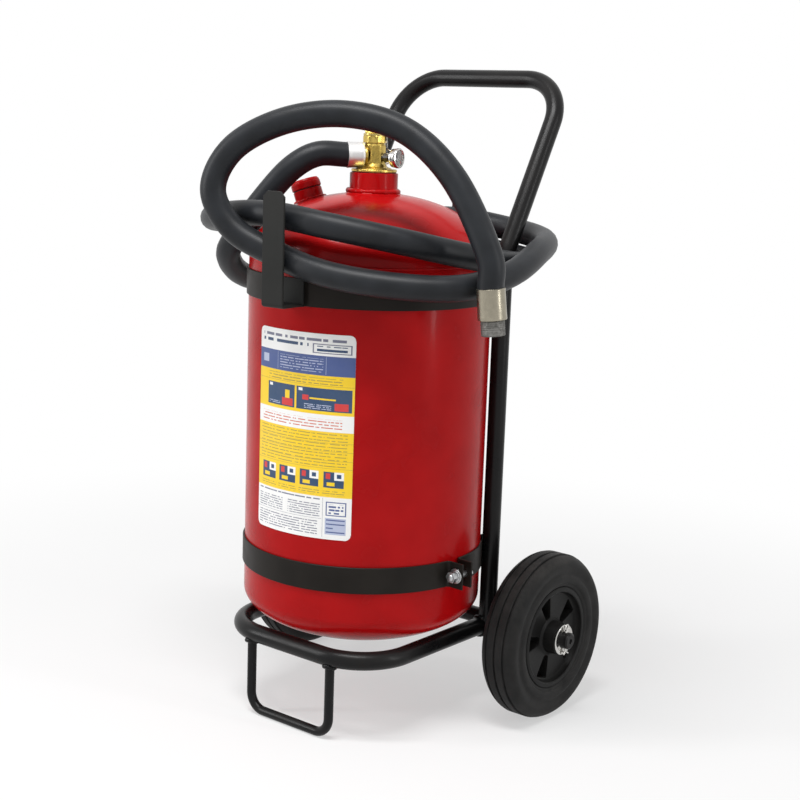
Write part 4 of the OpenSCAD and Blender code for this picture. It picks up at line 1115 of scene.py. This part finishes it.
def make_split_pins():
    pin_x = highest("split_pins").x / MM - 2.0
    parts = []
    for side in (-1, 1):
        centre = Vector((side * pin_x * MM, axle_mid.y, axle_mid.z))
        shank = turned("pin_shank", [(0, -PIN_HALF), (1.2, -PIN_HALF), (1.9, 1 - PIN_HALF), (1.9, 11.5),
                                     (1.4, 13.4), (0, 13.4)], steps=20)
        place(shank, centre)
        eye = place(ring("pin_eye", EYE_R * MM, EYE_WIRE * MM), centre + Z * (PIN_HALF + 3) * MM, X)
        parts += [shank, eye]
        for way, spread_by in ((-1, 38), (1, 62)):
            foot = centre + Y * way * 0.9 * MM - Z * (PIN_HALF - 1.2) * MM
            parts.append(swept("pin_tip", disc(1.0, 12), foot, -Z, X, [
                ("run", 1.0), ("bend", spread_by, 3.0, Y * way, 6), ("run", 3.5)]))
    pins = joined("split_pin_pair", *parts)
    dress(finish_mesh(pins), chrome, "trolley", "split_pins", slot="chrome")


make_axle()
make_split_pins()


# ---- Wheels ----

WHEEL_R = 100.0
TYRE_HALF = 23.5
RIM_R = 62.0
GROOVE_X = 12.0
WINDOWS = 5
# A window in the hub: how far out its ends are, how wide it is there, and its corner, all in metres
WINDOW_INNER = 0.0236
WINDOW_OUTER = 0.0512
WINDOW_NARROW = 0.0088
WINDOW_WIDE = 0.0225
WINDOW_CORNER = 0.0026
WINDOW_DEPTH = 0.08


def mirrored(half):
    """A section made whole: half of it from the inside out, then its mirror image back."""
    return half + [(r, -z) for r, z in reversed(half)]


def tyre_outline():
    """The tyre's section: its side from the rim out, then a shoulder groove and the tread."""
    side = [(0, 19.0), (1.5, 20.3), (4, 20.9), (5, 22.0), (7, 22.9), (11, 23.2), (13, 22.7), (14.5, 21.6),
            (16.5, 21.2), (19, 21.9), (22, 22.9), (25, TYRE_HALF), (28, 23.2), (31, 21.7), (33.0, 19.6),
            (34.8, 17.4), (36.2, 15.0), (36.6, GROOVE_X + 1.8)]
    half = [(RIM_R + out, z) for out, z in side]
    half += [(WHEEL_R - 1.0, GROOVE_X + 1.4), (WHEEL_R - 2.4, GROOVE_X + 0.9), (WHEEL_R - 2.5, GROOVE_X),
             (WHEEL_R - 2.4, GROOVE_X - 0.9), (WHEEL_R - 0.5, GROOVE_X - 1.4), (WHEEL_R, GROOVE_X - 1.9),
             (WHEEL_R, 1.9), (WHEEL_R - 0.5, 1.4), (WHEEL_R - 2.4, 0.9), (WHEEL_R - 2.5, 0.2)]
    return mirrored(half)


def hub_outline():
    """The hub's section: its boss, the dished web and the rim."""
    half = [(13.1, 28.4), (13.7, 29), (17.8, 29), (18.6, 28.2), (20.6, 14.6), (23.4, 12.2), (50.5, 12.0),
            (53.0, 12.6), (54.6, 14.6), (55.4, 19.4), (56.4, 20.2), (59.6, 20.2), (61.2, 19.6),
            (RIM_R - 0.1, 18.4)]
    return mirrored(half)


def window_cutters():
    """Round-cornered wedges that cut the windows out of the hub's web."""
    wedges = []
    for i in range(WINDOWS):
        deselect_all()
        bpy.ops.mesh.primitive_cube_add(size=1.0)
        wedge = named("window_cutter")
        for v in wedge.data.vertices:
            outer = v.co.x > 0
            v.co.x = WINDOW_OUTER if outer else WINDOW_INNER
            v.co.y *= WINDOW_WIDE if outer else WINDOW_NARROW
            v.co.z *= WINDOW_DEPTH
        edit(wedge, "EDGE")
        bpy.ops.mesh.select_all(action="DESELECT")
        bpy.ops.object.mode_set(mode="OBJECT")
        for e in wedge.data.edges:
            a, b = (wedge.data.vertices[k].co for k in e.vertices)
            e.select = abs(a.z - b.z) > 0.01
        bpy.ops.object.mode_set(mode="EDIT")
        bpy.ops.mesh.bevel(offset=WINDOW_CORNER, segments=4)
        bpy.ops.object.mode_set(mode="OBJECT")
        wedge.data.transform(Matrix.Rotation((i + 0.5) * math.tau / WINDOWS, 4, "Z"))
        wedges.append(wedge)
    return joined("window_cutters", *wedges)


def make_wheel(side, body):
    centre = Vector((middle(body.replace("_wheel", "_tyre")).x, axle_mid.y, axle_mid.z))
    name = body.replace("_wheel", "")
    tyre = place(turned(name + "_tyre_rubber", tyre_outline(), steps=144, hollow=True), centre, X * side)
    dress(finish_mesh(tyre, smooth=28), tyre_rubber, body, name + "_tyre", slot="tyre_rubber")
    hub = turned(name + "_hub_moulding", hub_outline(), steps=120, hollow=True)
    cut(hub, window_cutters())
    soften(hub, 0.0006, 2, angle=50)
    place(hub, centre, X * side)
    dress(finish_mesh(hub, smooth=32), wheel_plastic, body, name + "_hub", slot="wheel_plastic")


make_wheel(-1, "left_wheel")
make_wheel(1, "right_wheel")


# ---- Valve ----

# Directions round the tank's axis
OUTLET_TURN = -127.57
GAUGE_TURN = 9.0
LEVER_TURN = 39.0
LOCK_TURN = 104.0
# Heights above the neck
OUTLET_RISE = 19.6
BODY_TOP = 42.0
BONNET_FOOT = 29.1
BONNET_SEAT = 44.55
BONNET_TOP = 49.05
LEVER_LOW = 49.45
LEVER_HIGH = 53.45
CAVITY_R = 9.2
STEM_R = 3.5
STEM_GAP = 0.05
HOSE_SOCKET = 9.55
# The ears on the lever and on the lock plate, and the pin's hole in both
EAR_HALF = 5.5
PIN_OUT = 30.0
PIN_HOLE = 2.15
# The lever's hub and bar, its middle height, and how far out its bent tab is
LEVER_HUB = 12.0
LEVER_HALF = 6.5
LEVER_REACH = 45.5
LEVER_MIDDLE = 51.45
TAB_OUT = 16.75
# The lock pin: its length, and how far its top is below the lever at rest
LOCK_PIN = 20.0
LOCK_PIN_BELOW = 0.5


def at_neck(piece):
    return place(piece, Vector((tank_axis.x, tank_axis.y, neck_top)))


def rod(name, r, low, high, steps=48):
    return turned(name, [(0, low), (r, low), (r, high), (0, high)], steps=steps)


def make_valve_body():
    outline = [
        (8.05, -20), (19.0, -20), (19.9, -19), (19.9, 0.9), (26.0, 0.9), (26.5, 1.4), (26.5, 3.4),
        (26.0, 4.0), (22.6, 4.1), (20.6, 4.5), (19.8, 5.4), (18.6, 5.9), (16.6, 6.2), (15.4, 7.0),
        (14.2, 8.6), (12.9, 10.6), (12.9, 30.0), (12.2, 31.2), (11.6, 32.4), (11.8, 33.6), (13.8, 34.2),
        (14.0, 34.8), (14.0, 41.2), (13.2, BODY_TOP), (CAVITY_R, BODY_TOP), (CAVITY_R, 8.6), (4.5, 8.6),
        (4.5, -4), (8.05, -4)]
    body = turned("valve_casting", outline, steps=96, hollow=True)
    hexagonal(body, 23.6, (9.5, 30.5), sides=8, turn=OUTLET_TURN - 22.5)
    hexagonal(body, 26.2, (33.8, BODY_TOP - 0.4), sides=8, turn=OUTLET_TURN)
    boss = turned("outlet_boss", [(0, 9.6), (10.6, 9.6), (10.6, 12.0), (10.0, 13.2), (0, 13.2)], steps=64)
    place(boss, Z * OUTLET_RISE * MM, direction(OUTLET_TURN))
    cut(body, boss, "UNION")
    port = rod("outlet_port", HOSE_SOCKET, 5.0, 20.0)
    cut(body, place(port, Z * OUTLET_RISE * MM, direction(OUTLET_TURN)))
    body = soften(at_neck(body), 0.00035, 2, angle=28)
    dress(finish_mesh(body, smooth=32), brass, "trolley", "valve_body", slot="brass")


def make_bonnet():
    outline = [
        (5.5, BONNET_FOOT), (CAVITY_R - 0.1, BONNET_FOOT), (CAVITY_R - 0.1, BONNET_SEAT), (11.2, BONNET_SEAT),
        (12.5, BONNET_SEAT + 0.7), (12.5, BONNET_TOP - 0.8), (11.2, BONNET_TOP),
        (STEM_R + STEM_GAP, BONNET_TOP), (STEM_R + STEM_GAP, 35.15), (5.5, 35.15)]
    bonnet = turned("bonnet_nut", outline, steps=72, hollow=True)
    hexagonal(bonnet, 21.65, (BONNET_SEAT - 0.2, BONNET_TOP + 0.2))
    dress(finish_mesh(soften(at_neck(bonnet), 0.0003, 2), smooth=30), brass, "trolley", "valve_bonnet",
          slot="brass")


def plate(name, outline, low, high):
    """A flat piece cut to an outline of (x, y) points in millimetres, round the stem's axis."""
    return swept(name, outline, Z * low * MM, Z, X, [("run", high - low)])


def ear(hub_r, turn, half_width, length):
    """Outline points of a round-ended ear on a hub, from its right side to its left."""
    slip = math.degrees(math.asin(half_width / hub_r))
    tip = [(length + half_width * math.cos(math.radians(a)), half_width * math.sin(math.radians(a)))
           for a in range(-90, 91, 15)]
    a = math.radians(turn)
    points = [(x * math.cos(a) - y * math.sin(a), x * math.sin(a) + y * math.cos(a)) for x, y in tip]
    return turn - slip, points, turn + slip


def ears_on_hub(hub_r, *ears):
    """Outline of a round hub with ears, anticlockwise; each ear is (turn, half width, length)."""
    outline = []
    made = [ear(hub_r, *e) for e in ears]
    for i, (_, points, end) in enumerate(made):
        outline += points
        next_start = made[(i + 1) % len(made)][0] + (360 if i + 1 == len(made) else 0)
        steps = max(2, int((next_start - end) / 8))
        for k in range(steps + 1):
            a = math.radians(end + (next_start - end) * k / steps)
            outline.append((hub_r * math.cos(a), hub_r * math.sin(a)))
    return outline


def make_lever():
    outline = ears_on_hub(LEVER_HUB, (LEVER_TURN, LEVER_HALF, LEVER_REACH), (LOCK_TURN, EAR_HALF, PIN_OUT))
    lever = plate("lever_bar", outline, LEVER_LOW, LEVER_HIGH)
    cut(lever, rod("stem_hole", STEM_R + STEM_GAP, LEVER_LOW - 3, LEVER_HIGH + 3))
    pin_hole = rod("pin_hole", PIN_HOLE, LEVER_LOW - 3, LEVER_HIGH + 3)
    cut(lever, place(pin_hole, direction(LOCK_TURN) * PIN_OUT * MM))
    lever = finish_mesh(soften(lever, 0.0007, 3, angle=50), smooth=30)
    out, beside = direction(LEVER_TURN), direction(LEVER_TURN + 90)
    tab = swept("lever_tab", strip(13.0, 2.5, corner=0.4), (out * TAB_OUT + Z * (LEVER_LOW + 1.5)) * MM, -Z,
                beside, [("run", 14.4)])
    lever = joined("lever_handle", lever, finish_mesh(tab, smooth=30))
    dress(at_neck(lever), lever_red, "valve_turn", "valve_lever", slot="lever_red")
    sleeve = swept("lever_sleeve", strip(13.8, 3.6, corner=1.1), (out * TAB_OUT + Z * (LEVER_LOW - 1.6)) * MM,
                   -Z, beside, [("run", 11.8)])
    sleeve = finish_mesh(soften(at_neck(sleeve), 0.0007, 3, angle=50), smooth=35)
    dress(sleeve, black_grip, "valve_turn", slot="lever_red")
    grip = swept("lever_grip", strip(14.2, 5.2, corner=1.5), (out * 27 + Z * LEVER_MIDDLE) * MM, out, beside,
                 [("run", 24.0), ("run", 1.6)])
    for v in grip.data.vertices:
        along = v.co.dot(out)
        at_tip = along > 51.5 * MM
        if at_tip:
            v.co -= (v.co - out * along - Z * LEVER_MIDDLE * MM) * 0.35
    grip = finish_mesh(soften(at_neck(grip), 0.0008, 3, angle=30), smooth=35)
    dress(grip, lever_red, "valve_turn", slot="lever_red")


def make_stem():
    low, high = ((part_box("valve_stem")[i].z - neck_top) / MM for i in (0, 1))
    outline = ([(0, low), (STEM_R, low)] + threaded(STEM_R, 53.5, high - 0.8, 1.0, 0.35)
               + [(2.6, high), (0, high)])
    stem = turned("stem", outline, steps=40)
    dress(finish_mesh(at_neck(stem), smooth=30), zinc, "valve_turn", "valve_stem", slot="zinc_steel")
    bore = STEM_R + STEM_GAP
    nut = turned("stem_nut", [(bore, 53.55), (5.7, 53.55), (6.5, 54.0), (6.5, 57.5), (5.7, 58.05),
                              (STEM_R + 0.5, 58.05), (bore, 57.6)], steps=48, hollow=True)
    hexagonal(nut, 11.2)
    dress(finish_mesh(soften(at_neck(nut), 0.0002, 1), smooth=30), zinc, "valve_turn", "lever_nut",
          slot="zinc_steel")


def make_lock():
    out = direction(LOCK_TURN)
    flat = plate("lock_ear", ears_on_hub(13.5, (LOCK_TURN, EAR_HALF, PIN_OUT)), BODY_TOP, BODY_TOP + 2.5)
    cut(flat, rod("plate_hole", CAVITY_R + 0.05, BODY_TOP - 2, BODY_TOP + 5))
    cut(flat, place(rod("pin_hole", PIN_HOLE, BODY_TOP - 2, BODY_TOP + 5), out * PIN_OUT * MM))
    flat = finish_mesh(soften(at_neck(flat), 0.0003, 2, angle=50), smooth=30)
    dress(flat, yellow_zinc, "trolley", "lock_plate", slot="zinc_steel")
    foot = (out * PIN_OUT + Z * (LEVER_LOW - LOCK_PIN_BELOW - LOCK_PIN)) * MM
    pin = turned("pin_rod", [(0, 0), (2.0, 0), (2.0, 18.4), (1.7, 19.3), (1.0, LOCK_PIN), (0, LOCK_PIN)],
                 steps=32)
    place(pin, foot)
    eye = place(ring("pin_loop", 2.7 * MM, 1.1 * MM, 36, 14), foot - Z * 3.0 * MM, direction(LOCK_TURN + 90))
    pin = finish_mesh(at_neck(joined("lock_pin_rod", pin, eye)))
    dress(pin, dark_chrome, "lock_pin_set", "lock_pin", slot="chrome")
    pull = place(ring("pull_ring", 8.5 * MM, 0.8 * MM, 64, 12), foot - Z * 11.1 * MM, out)
    dress(finish_mesh(at_neck(pull)), chrome, "lock_pin_set", "lock_pin_ring", slot="chrome")


make_valve_body()
make_bonnet()
make_lever()
make_stem()
make_lock()


# ---- Gauge ----

GAUGE_RISE = 17.6
GAUGE_BACK = 24.0
GAUGE_R = 11.5
DIAL_R = 10.1
DIAL_FACE = GAUGE_BACK + 2.6
FIGURES = ("0", "8", "16", "24")
# The first figure's direction on the dial and the step to the next, in degrees; the rest in millimetres
FIGURE_FIRST = 225
FIGURE_STEP = -90
FIGURE_OUT = 5.4
FIGURE_SIZE = 3.0
FIGURE_THICK = 0.04

gauge_axis = direction(GAUGE_TURN)
gauge_mid = Vector((tank_axis.x, tank_axis.y, neck_top + GAUGE_RISE * MM))


def on_gauge(piece):
    return place(piece, gauge_mid, gauge_axis)


def make_gauge():
    back, front = GAUGE_BACK, GAUGE_BACK + 10
    outline = [(0, back), (7.5, back), (9.4, back + 0.4), (10.6, back + 1.4), (10.9, back + 3.2),
               (10.9, back + 5.6), (11.4, back + 6.0), (GAUGE_R, back + 6.6), (GAUGE_R, front - 1.2),
               (11.2, front - 0.4), (10.5, front), (9.7, front - 0.1), (9.2, front - 0.7),
               (DIAL_R, front - 1.5), (DIAL_R, back + 1.3), (0, back + 1.3)]
    case = turned("gauge_bezel", outline, steps=80)
    dress(finish_mesh(on_gauge(case), smooth=30), chrome, "trolley", "gauge_case", slot="chrome")
    inner = DIAL_R - 0.1
    face = turned("gauge_face", [(0, back + 2), (inner, back + 2), (inner, back + 2.6), (0.8, back + 2.6),
                                 (0.8, back + 5.0), (0, back + 5.1)], steps=80)
    dress(finish_mesh(on_gauge(face), smooth=30), dial_print(), "trolley", "gauge_dial", slot="dial")
    glass = turned("gauge_glass", [(0, back + 8.6), (inner, back + 8.6), (inner, back + 8.9),
                                   (8.0, back + 9.25), (4.0, back + 9.5), (0, back + 9.6)], steps=64)
    dress(finish_mesh(on_gauge(glass)), clear_lens(), "trolley", "gauge_lens", slot="lens")
    stem = turned("gauge_pipe", [(0, 11.5), (4.5, 11.5), (4.5, 14.2), (6.3, 14.6), (6.3, 20.2), (5.8, 20.9),
                                 (4.2, 21.1), (4.2, back - 0.1), (0, back - 0.1)], steps=48)
    hexagonal(stem, 10.9, (14.3, 20.6))
    dress(finish_mesh(soften(on_gauge(stem), 0.0002, 1), smooth=30), dark_chrome, "trolley", "gauge_stem",
          slot="chrome")
    make_dial_numbers()


def make_dial_numbers():
    """Plain numbers round the dial, as thin raised figures."""
    beside = Z.cross(gauge_axis)
    axes = Matrix((beside, Z, gauge_axis)).transposed().to_4x4()
    figures = []
    for i, words in enumerate(FIGURES):
        a = math.radians(FIGURE_FIRST + i * FIGURE_STEP)
        deselect_all()
        bpy.ops.object.text_add()
        figure = bpy.context.object
        figure.data.body = words
        figure.data.size = FIGURE_SIZE * MM
        figure.data.extrude = FIGURE_THICK * MM
        figure.data.align_x, figure.data.align_y = "CENTER", "CENTER"
        bpy.ops.object.convert(target="MESH")
        figure = named("dial_figure")
        spot = gauge_mid + gauge_axis * (DIAL_FACE + 0.03) * MM
        spot += (beside * math.cos(a) + Z * math.sin(a)) * FIGURE_OUT * MM
        figure.data.transform(Matrix.Translation(spot) @ axes)
        figures.append(figure)
    figures = finish_mesh(joined("dial_figures", *figures), smooth=0)
    dress(figures, needle_black, "trolley", slot="needle_black")


# The dial's printed rings, from and to, in metres, and angles on it, in radians from the top
TICK_RING = (0.0078, 0.0092)
BAND_RING = (0.0064, 0.0075)
DIAL_HALF_SWEEP = 2.40
TICK_STEP = math.radians(11.25)
GREEN_MIDDLE = 0.15
GREEN_HALF = 0.70


def dial_print():
    """White enamel with a ring of ticks, a green middle stretch and red ends."""
    material, tree, shader, at = new_material("dial_print")
    offset = node(tree, "VectorMath", {0: at, 1: gauge_mid}, operation="SUBTRACT").outputs[0]
    beside = Z.cross(gauge_axis)
    right = node(tree, "VectorMath", {0: offset, 1: beside}, operation="DOT_PRODUCT").outputs["Value"]
    up = node(tree, "SeparateXYZ", {0: offset}).outputs["Z"]
    r = node(tree, "VectorMath", {0: node(tree, "CombineXYZ", {0: right, 1: up}).outputs[0]},
             operation="LENGTH").outputs["Value"]
    turn = maths(tree, "ARCTAN2", right, up)
    used = maths(tree, "LESS_THAN", maths(tree, "ABSOLUTE", turn), DIAL_HALF_SWEEP)
    step = maths(tree, "FRACT", maths(tree, "ADD", maths(tree, "DIVIDE", turn, TICK_STEP), 0.5))
    tick = maths(tree, "LESS_THAN", maths(tree, "ABSOLUTE", maths(tree, "SUBTRACT", step, 0.5)), 0.12)
    green = maths(tree, "LESS_THAN", maths(tree, "ABSOLUTE", maths(tree, "SUBTRACT", turn, GREEN_MIDDLE)),
                  GREEN_HALF)
    grain = use(tree, GRAIN, Vector=at, Scale=1500.0, Wave_scale=90.0)
    colour = mixed(tree, grain.outputs["Wave"], (0.80, 0.80, 0.78, 1.0), (0.74, 0.74, 0.72, 1.0))
    band = maths(tree, "MULTIPLY", inside(tree, r, *BAND_RING), used)
    colour = mixed(tree, band, colour, (0.55, 0.04, 0.03, 1.0))
    colour = mixed(tree, maths(tree, "MULTIPLY", band, green), colour, (0.03, 0.30, 0.06, 1.0))
    marks = maths(tree, "MULTIPLY", maths(tree, "MULTIPLY", inside(tree, r, *TICK_RING), used), tick)
    colour = mixed(tree, marks, colour, (0.02, 0.02, 0.02, 1.0))
    put(tree, shader, Base_Color=colour, Roughness=0.35,
        Normal=bumped(tree, grain.outputs["Height"], 0.2, 0.00002))
    return material


def clear_lens():
    """Clear plastic with a faint haze of fine scratches."""
    material, tree, shader, at = new_material("clear_lens")
    marks = use(tree, BRUSHING, Vector=at, Scale=500.0, Stretch=(6.0, 6.0, 6.0), Blotch_scale=90.0)
    haze = spread(tree, marks.outputs["Blotches"], 0.4, 0.8, 0.02, 0.10)
    put(tree, shader, Base_Color=(0.97, 0.98, 0.98, 1.0), Roughness=haze, Transmission_Weight=1.0, IOR=1.49,
        Normal=bumped(tree, marks.outputs["Scratches"], 0.05, 0.00001))
    return material


needle_black = moulded("needle_black", (0.010, 0.010, 0.011, 1.0), (0.014, 0.014, 0.014, 1.0), 0.35)
make_gauge()


# ---- Hose fittings ----

def make_ferrules():
    start = Vector((tank_axis.x, tank_axis.y, neck_top + OUTLET_RISE * MM))
    outline = [(HOSE_SOCKET, 13.3), (13.4, 13.3), (14.6, 13.8), (15.0, 14.8), (15.05, 17.0), (14.75, 18.2),
               (14.7, 20.5), (14.75, 27.0), (14.9, 29.5), (15.2, 31.6), (15.25, 32.4), (14.9, 32.8),
               (HOSE_SOCKET, 32.8)]
    ferrule = place(turned("outlet_ferrule", outline, steps=96, hollow=True), start, direction(OUTLET_TURN))
    dress(finish_mesh(ferrule), aluminium, "trolley", "valve_ferrule", slot="ferrule_metal")
    top = tank_axis + Vector(HOSE_ROUTE[-1])
    down = (Vector(HOSE_ROUTE[-1]) - Vector(HOSE_ROUTE[-2])).normalized()
    outline = [(HOSE_SOCKET, 0), (15.2, 0), (15.7, 0.4), (15.6, 1.4), (15.5, 3.0), (15.5, 26.0),
               (15.65, 29.0), (15.75, 32.2), (15.5, 33), (HOSE_SOCKET, 33)]
    end_ferrule = place(turned("end_ferrule", outline, steps=96, hollow=True), top, down)
    dress(finish_mesh(end_ferrule), nickel, "trolley", "tip_ferrule", slot="nickel")
    thread = ([(8, 0), (9.5, 0), (9.5, 33.0), (11.6, 33.0), (12.5, 33.9)]
              + threaded(13.0, 34.2, 47.8, 2.3, 0.35)
              + [(12.9, 48.2), (12.9, 49.3), (12.4, 50.0), (8.8, 50.0), (8, 49.2)])
    end = place(turned("threaded_end", thread, steps=96, hollow=True), top, down)
    dress(finish_mesh(end, smooth=40), raw_steel, "trolley", "tip_nipple", slot="grey_steel")
    return end_ferrule, end


end_ferrule, threaded_end = make_ferrules()


# ---- Nodes that keep their own shape ----

ptfe = moulded("ptfe", (0.72, 0.72, 0.70, 1.0), (0.66, 0.66, 0.64, 1.0), 0.45, dust=0.0)
KEPT_NODES = {
    "filler_seal": seal_rubber, "neck_seal": seal_rubber,
    "left_bush": bush_plastic, "right_bush": bush_plastic,
    "ball_seat": ptfe, "stem_packing": ptfe, "valve_ball": chrome, "dip_tube": steel,
    "valve_nipple": brass, "gauge_needle": needle_black,
}
for kept, finish in KEPT_NODES.items():
    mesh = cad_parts[kept].data
    mesh.materials.clear()
    mesh.materials.append(finish)


# ---- Studio ----

FLOOR_HALF = 9.0
FLOOR_NEAR = 0.35
FLOOR_FAR = 1.3
# Share of plain white that the floor shows under the object
FLOOR_GLOW = 0.5
WORLD_LIGHT = 0.36
# Each lamp: its place, the point it faces, its width, its height and its power
LAMPS = {
    "overhead_softbox": ((0.2, -0.8, 2.3), (0, 0, 0.4), 1.3, 0.45, 40),
    "left_softbox": ((-1.7, -1.9, 1.3), (0, 0, 0.4), 0.35, 1.8, 26),
    "right_strip": ((2.3, 0.4, 1.0), (0, 0, 0.4), 0.22, 1.7, 12),
}


def make_floor():
    deselect_all()
    bpy.ops.mesh.primitive_plane_add(size=2 * FLOOR_HALF)
    floor = named("studio_floor")
    material, tree, shader, at = new_material("studio_floor")
    away = node(tree, "VectorMath", {0: at}, operation="LENGTH").outputs["Value"]
    fade = node(tree, "MapRange", {"Value": away, "From Min": FLOOR_NEAR, "From Max": FLOOR_FAR,
                                  "To Min": FLOOR_GLOW},
                interpolation_type="SMOOTHSTEP").outputs[0]
    put(tree, shader, Base_Color=(0.84, 0.84, 0.84, 1.0), Roughness=0.9, Specular_IOR_Level=0.0)
    glow = node(tree, "Emission", {"Color": grey(1.0), "Strength": 1.0}).outputs[0]
    share = maths(tree, "MULTIPLY", directly_seen(tree), fade)
    mix = node(tree, "MixShader", {0: share, 1: shader.outputs[0], 2: glow})
    output = next(n for n in tree.nodes if n.type == "OUTPUT_MATERIAL")
    tree.links.new(mix.outputs[0], output.inputs[0])
    floor.data.materials.append(material)


def make_world():
    world = bpy.data.worlds.new("studio")
    world.use_nodes = True
    tree = world.node_tree
    tree.nodes.clear()
    light = node(tree, "Background", {"Color": grey(1.0), "Strength": WORLD_LIGHT}).outputs[0]
    white = node(tree, "Background", {"Color": grey(1.0), "Strength": 1.0}).outputs[0]
    mix = node(tree, "MixShader", {0: directly_seen(tree), 1: light, 2: white})
    output = node(tree, "OutputWorld")
    tree.links.new(mix.outputs[0], output.inputs[0])
    bpy.context.scene.world = world


def make_lamps():
    for name, (spot, target, width, height, power) in LAMPS.items():
        data = bpy.data.lights.new(name, "AREA")
        data.shape = "RECTANGLE"
        data.size, data.size_y, data.energy = width, height, power
        lamp = bpy.data.objects.new(name, data)
        bpy.context.scene.collection.objects.link(lamp)
        aim = (Vector(target) - Vector(spot)).to_track_quat("-Z", "Y").to_matrix().to_4x4()
        lamp.matrix_world = Matrix.Translation(Vector(spot)) @ aim


make_floor()
make_world()
make_lamps()
bpy.context.scene.view_settings.view_transform = "Standard"
